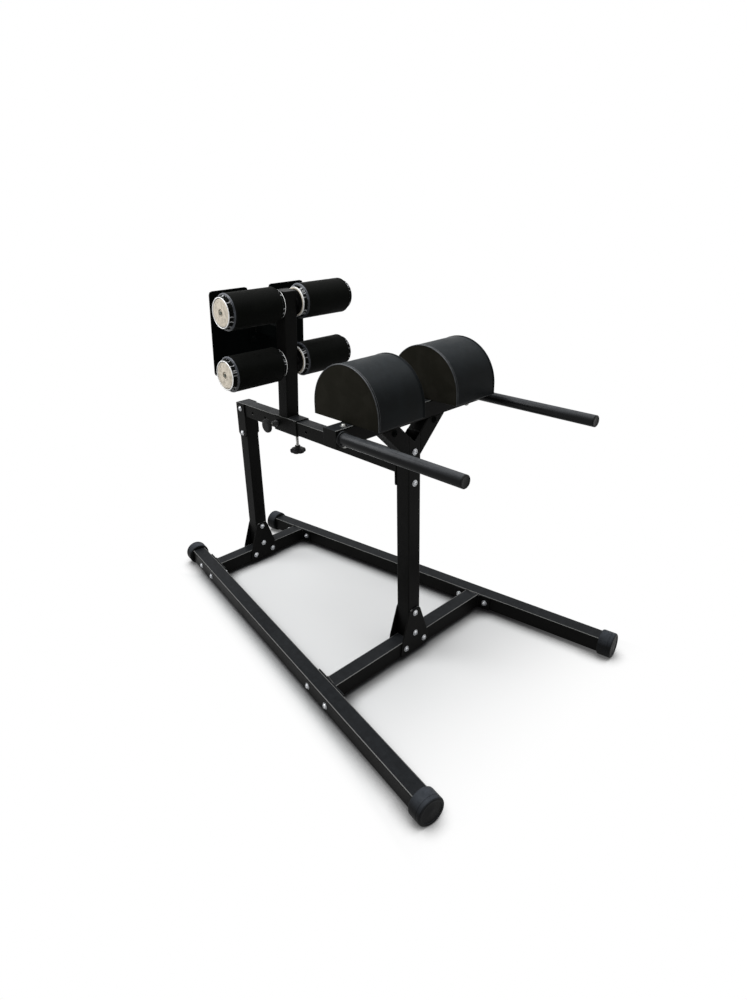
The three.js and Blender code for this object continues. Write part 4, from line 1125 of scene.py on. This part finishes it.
# %% [markdown]
# The hub is a turned nylon part: a tube core with a disc at each end. The outer disc has a white rim,
# a groove inside it that is painted black as painted shade, a cream face and a recess for the axle
# bolt. The inner disc is dished, and its dish is black. All of it is one lathe outline in three
# finishes.

# %% Roller hub
HUB_START, HUB_END = 42, 296.5
hub = lathe("hub_master", [
    (13.3, HUB_START), (19.6, HUB_START), (20.6, 44.4), (48.4, 44.4), (49.4, HUB_START + 0.2),
    (55.6, HUB_START + 0.2), (57, HUB_START + 1.6), (57, 51), (24, 51), (24, 287.5), (57, 287.5),
    (57, HUB_END - 1.4), (55.8, HUB_END), (53.4, HUB_END), (52.8, HUB_END - 3.4),
    (50.6, HUB_END - 3.4), (50, HUB_END - 1.5), (48, HUB_END - 1), (40, HUB_END - 1),
    (39.4, HUB_END - 1.5), (37.6, HUB_END - 1.5), (37, HUB_END - 1), (20, HUB_END - 1),
    (19, HUB_END - 0.4), (15, HUB_END - 0.4), (14, HUB_END - 1.2), (14, HUB_END - 5.4),
    (13.3, HUB_END - 5.4), (13.3, HUB_START)], 72)
paint(smooth(hub, 30), cream_nylon, white_rim, black_plastic)
# The rim takes the white finish. The dish of the inner disc is black, and the groove inside the outer
# rim is painted black as painted shade.
for face in hub.data.polygons:
    out, along = face.center.xy.length / MM, face.center.z / MM
    if out > 52.9:
        face.material_index = 1
    elif along < 45 and out < 49 or 50.4 < out < 53 and along > 285:
        face.material_index = 2
print("hub:", len(hub.data.polygons), "faces")

# %% Axle, collar and end bolt
AXLE_END, BOLT_SEAT = 291, 291.3
axle_rod = lathe("axle_rod", [
    (0, -AXLE_END), (5.2, -AXLE_END), (11.4, -AXLE_END), (12.5, -289.9), (12.5, 289.9),
    (11.4, AXLE_END), (5.2, AXLE_END), (0, AXLE_END)], 32)
paint(smooth(axle_rod), turned_steel)
collar = lathe("axle_collar", [
    (12.8, 30.3), (18, 30.3), (19, 31.3), (19, 40.5), (18, 41.5), (12.8, 41.5), (12.8, 30.3)], 40)
paint(smooth(round_edges(collar, 0.4, 1)), black_plastic)
end_washer = paint(washer("end_washer", 0.1, 1.6), cream_nylon)
end_head = paint(round_edges(hex_prism("end_head", 6.9, 1.8, 6.4), 0.6, 1), dull_steel)
end_shank = paint(bar("end_shank", 5, -30, 2.5), turned_steel)
end_bolt = smooth(join("end_bolt", end_washer, end_head, end_shank))
print("end bolt:", len(end_bolt.data.polygons), "faces")

# %% Lay the axles and the rollers
POST_X, ROLLER_Z = -359, {"upper": 1283.5, "lower": 1048}
ROLLER_TURN = {"upper_right": 2.35, "lower_right": -2.2, "upper_left": -1.9, "lower_left": 2.9}
for level, height in ROLLER_Z.items():
    middle = (POST_X, 0, height)
    rod = lay(copy_of(axle_rod, f"{level}_axle_rod"), middle, (0, 1, 0))
    hand_over(lean(rod), "carriage", "bare_steel", f"{level}_axle")
    for side, sign in SIDES.items():
        key = f"{level}_{side}"
        body = f"{key}_roller"
        toward, turn = (0, sign, 0), ROLLER_TURN[key]
        ring = lay(copy_of(collar, f"{key}_axle_collar"), middle, toward)
        hand_over(lean(ring), "carriage", "black_plastic")
        seat = (POST_X, sign * BOLT_SEAT, height)
        bolt = lay(copy_of(end_bolt, f"{key}_end_bolt"), seat, toward, 0.4)
        hand_over(lean(bolt), "carriage", "zinc_plate", f"{key}_axle_bolt")
        disc = lay(copy_of(hub, f"{key}_hub"), middle, toward, turn)
        hand_over(lean(disc), body, "cream_nylon", f"{key}_roller_hub")
        cover = lay(copy_of(roller, f"{key}_cover"), middle, toward, turn)
        hand_over(lean(cover), body, "black_vinyl", f"{key}_roller_pad")
        trim = lay(copy_of(seam, f"{key}_trim"), middle, toward, turn)
        hand_over(lean(trim), body, "black_vinyl")
discard(axle_rod, collar, end_bolt, hub, roller, seam)
print("rollers:", 4)

# %% [markdown]
# ## Plugs
# The post and the beam end in moulded plugs. Both are blocks with a rounded rim and a shallow
# panel, made by an inset and a small step back.

# %% Post cap and beam plug
PANEL_BORDER, PANEL_DEPTH = 4, 0.8


def stepped_face(piece, look):
    """Insets the face that looks along an axis and presses it in."""
    look = Vector(look)
    largest = max(f.area for f in piece.data.polygons if f.normal.dot(look) > 0.95)
    open_up(piece)
    pick(piece, "FACE", lambda f: f.normal.dot(look) > 0.95 and f.calc_area() > largest * 0.9)
    bpy.ops.mesh.inset(thickness=PANEL_BORDER * MM, depth=0)
    bpy.ops.mesh.inset(thickness=PANEL_DEPTH * MM, depth=-PANEL_DEPTH * MM)
    return done(piece)


def moulded_plug(name, rim, stem, look):
    """A rim with a panel, and a stem that fills the tube. Both are blocks between two corners."""
    front = stepped_face(rounded_block(name + "_rim", *rim), look)
    back = rounded_block(name + "_stem", *stem, 1.5)
    return paint(smooth(join(name, front, back)), black_plastic)


post_cap = moulded_plug("post_top_cap", ((POST_X - 30, -30, 1330.3), (POST_X + 30, 30, 1334), 1.6),
                        ((POST_X - 26.4, -26.4, 1310), (POST_X + 26.4, 26.4, 1330.8)), UP_Z)
hand_over(lean(post_cap), "carriage", "black_plastic", "foot_post_cap")
beam_plug = moulded_plug("beam_rear_plug", ((-714.3, -30, 753.2), (-711.3, 30, 810.8), 1.3),
                         ((-711.6, -26.4, 756.6), (-696, 26.4, 807.4)), (-1, 0, 0))
hand_over(beam_plug, "frame", "black_plastic", "beam_end_plug")
print("plugs:", 2)

# %% [markdown]
# ## Lock pin
# A spring pin locks the carriage in a hole of the beam. A threaded steel barrel is screwed into
# the sleeve with a hexagon behind its flange, and a round knob pulls the pin. Rings cut at the
# pitch of the thread read as a thread and close cleanly, where a true helix would need a seam.

# %% Lock pin, barrel and knob
PIN, PIN_WAY = (-399, 0, 782), (0, -1, 0)
SLEEVE, RIBS = 35, 60
barrel = lathe("barrel_thread", [
    (5.8, SLEEVE + 0.3), (12, SLEEVE + 0.3), (12, SLEEVE + 7),
    *thread_stations(12, SLEEVE + 7.5, SLEEVE + 23.4, 1.9, 0.8),
    (10.8, SLEEVE + 24), (5.8, SLEEVE + 24), (5.8, SLEEVE + 0.3)], 36)
nut = carve(round_edges(hex_prism("barrel_nut", 16, SLEEVE + 0.4, SLEEVE + 6), 0.6, 1),
            bar("nut_bore", 11.6, SLEEVE - 3, SLEEVE + 9, 32))
barrel = paint(smooth(join("lock_barrel", barrel, nut), 30), black_oxide)
hand_over(lay(barrel, PIN, PIN_WAY), "carriage", "bare_steel", "lock_pin_barrel")
pin = lathe("pin_rod", [(0, 30.5), (3, 30.5), (3.6, 31), (5, 32.7), (5, 88.3), (0, 88.3)], 28)
lay(paint(smooth(pin), turned_steel), PIN, PIN_WAY)
hand_over(pin, "lock_pin", "bare_steel", "lock_pin")
knob = lathe("pin_knob", [
    (5.3, 88.5), (5.3, 73.6), (11, 73.6), (12, 74.5), (12, 77.5), (15, 79.7), (26, 80.7),
    (29.2, 82.2), (30, 85), (30, 89.4), (29, 92.4), (26, 94.6), (20, 95.5), (13, 95.2), (0, 95)],
    RIBS)
carve(knob, bar("knob_bore", 5.3, 72, 88.5, 24))
draw_in(knob, 0.955, lambda v: v.co.xy.length > 0.0284 and column_of(v.co, RIBS, 0.5) % 3 == 0)
lay(paint(smooth(knob, 40), black_plastic), PIN, PIN_WAY)
hand_over(knob, "lock_pin", "black_plastic", "lock_pin_knob")
print("lock pin:", 3, "pieces")

# %% [markdown]
# ## Clamp screw
# Under the sleeve a screw with a lobed knob presses on the beam and takes up the play. The knob
# is a lathe form whose rim points are scaled in between the lobes.

# %% Clamp screw and knob
CLAMP, LOBES = (-312, 0, 4), 6
screw = lathe("clamp_thread", [
    (0, 663.3), (5, 663.3), *thread_stations(6, 664, 747.4, 1.75, 0.7), (5, 748.2), (0, 748.7)], 28)
lay(paint(smooth(screw, 30), turned_steel), CLAMP)
hand_over(screw, "clamp_screw", "bare_steel", "clamp_screw")
knob = lathe("lobed_knob", [
    (0, 657), (14, 657), (25, 657.8), (30.6, 660.4), (33, 664.5), (33, 669.5), (30.6, 673.6),
    (23, 676.4), (14, 677.6), (12.4, 679), (12, 681), (11.6, 687.6), (10.6, 689), (0, 689)], 72)
carve(knob, bar("knob_bore", 6.3, 663, 700, 24))


def between_lobes(vertex, reach):
    angle = math.atan2(vertex.co.y, vertex.co.x)
    return vertex.co.xy.length > 0.018 and math.cos(LOBES * angle) < -reach


for depth, reach in ((0.93, 0.2), (0.94, 0.45), (0.965, 0.7)):
    draw_in(knob, depth, lambda v: between_lobes(v, reach))
lay(paint(smooth(knob, 50), black_plastic), CLAMP)
hand_over(knob, "clamp_screw", "black_plastic", "clamp_knob")
discard(head_master, nut_master)
print("clamp screw:", 2, "pieces")

# %% [markdown]
# ## Weld beads
# Flanges, arm and post are welded on, and the beads show as a fine ripple under the paint. A
# bead could be sculpted, but a line of short steps, turned into a curve whose radius swells
# and shrinks from step to step, gives the ripple for few faces.

# %% Weld beads
BEAD, BEAD_STEP, BEAD_NECK = 4.8, 2.6, 0.72
ARM_Z, ARM_SIZE = 1165, (50, 50)


def weld_loop(name, centre, across, size, body):
    """A rippled bead round a rectangle that lies square to an axis."""
    deselect()
    bpy.ops.mesh.primitive_plane_add(size=1, location=(0, 0, 0))
    outline = bpy.context.object
    open_up(outline)
    bpy.ops.transform.resize(value=(size[0] * MM, size[1] * MM, 1), center_override=(0, 0, 0))
    bpy.ops.mesh.delete(type="ONLY_FACE")
    bpy.ops.mesh.select_all(action="SELECT")
    bpy.ops.mesh.subdivide(number_cuts=int(max(size) / BEAD_STEP))
    bead = smooth(corded(done(outline), name, BEAD, 1, BEAD_NECK), 70)
    return hand_over(lay(paint(bead, black_paint), centre, across), body, "black_paint")


weld_loop("post_weld", (POST_X, 0, 816.4), UP_Z, (60.2, 60), "carriage")
lean(weld_loop("arm_post_weld", (POST_X - 30.4, 0, ARM_Z), AHEAD_X, ARM_SIZE, "carriage"))
lean(weld_loop("arm_flange_weld", (POST_X - 178.5, 0, ARM_Z), AHEAD_X, ARM_SIZE, "carriage"))
weld_loop("beam_flange_weld", (289.5, 0, 782), AHEAD_X, (58, 60), "frame")
for foot, cross_x in UPRIGHT_X.items():
    for side, sign in SIDES.items():
        reach = RAIL_Y + cross_x * math.tan(SPLAY) - 35.3 / math.cos(SPLAY)
        centre = (cross_x, sign * reach, RAIL_Z)
        inward = Matrix.Rotation(sign * SPLAY, 3, "Z") @ Vector((0, -sign, 0))
        weld_loop(f"{foot}_{side}_plate_weld", centre, inward, (60, 60), "frame")
print("weld beads:", 8)
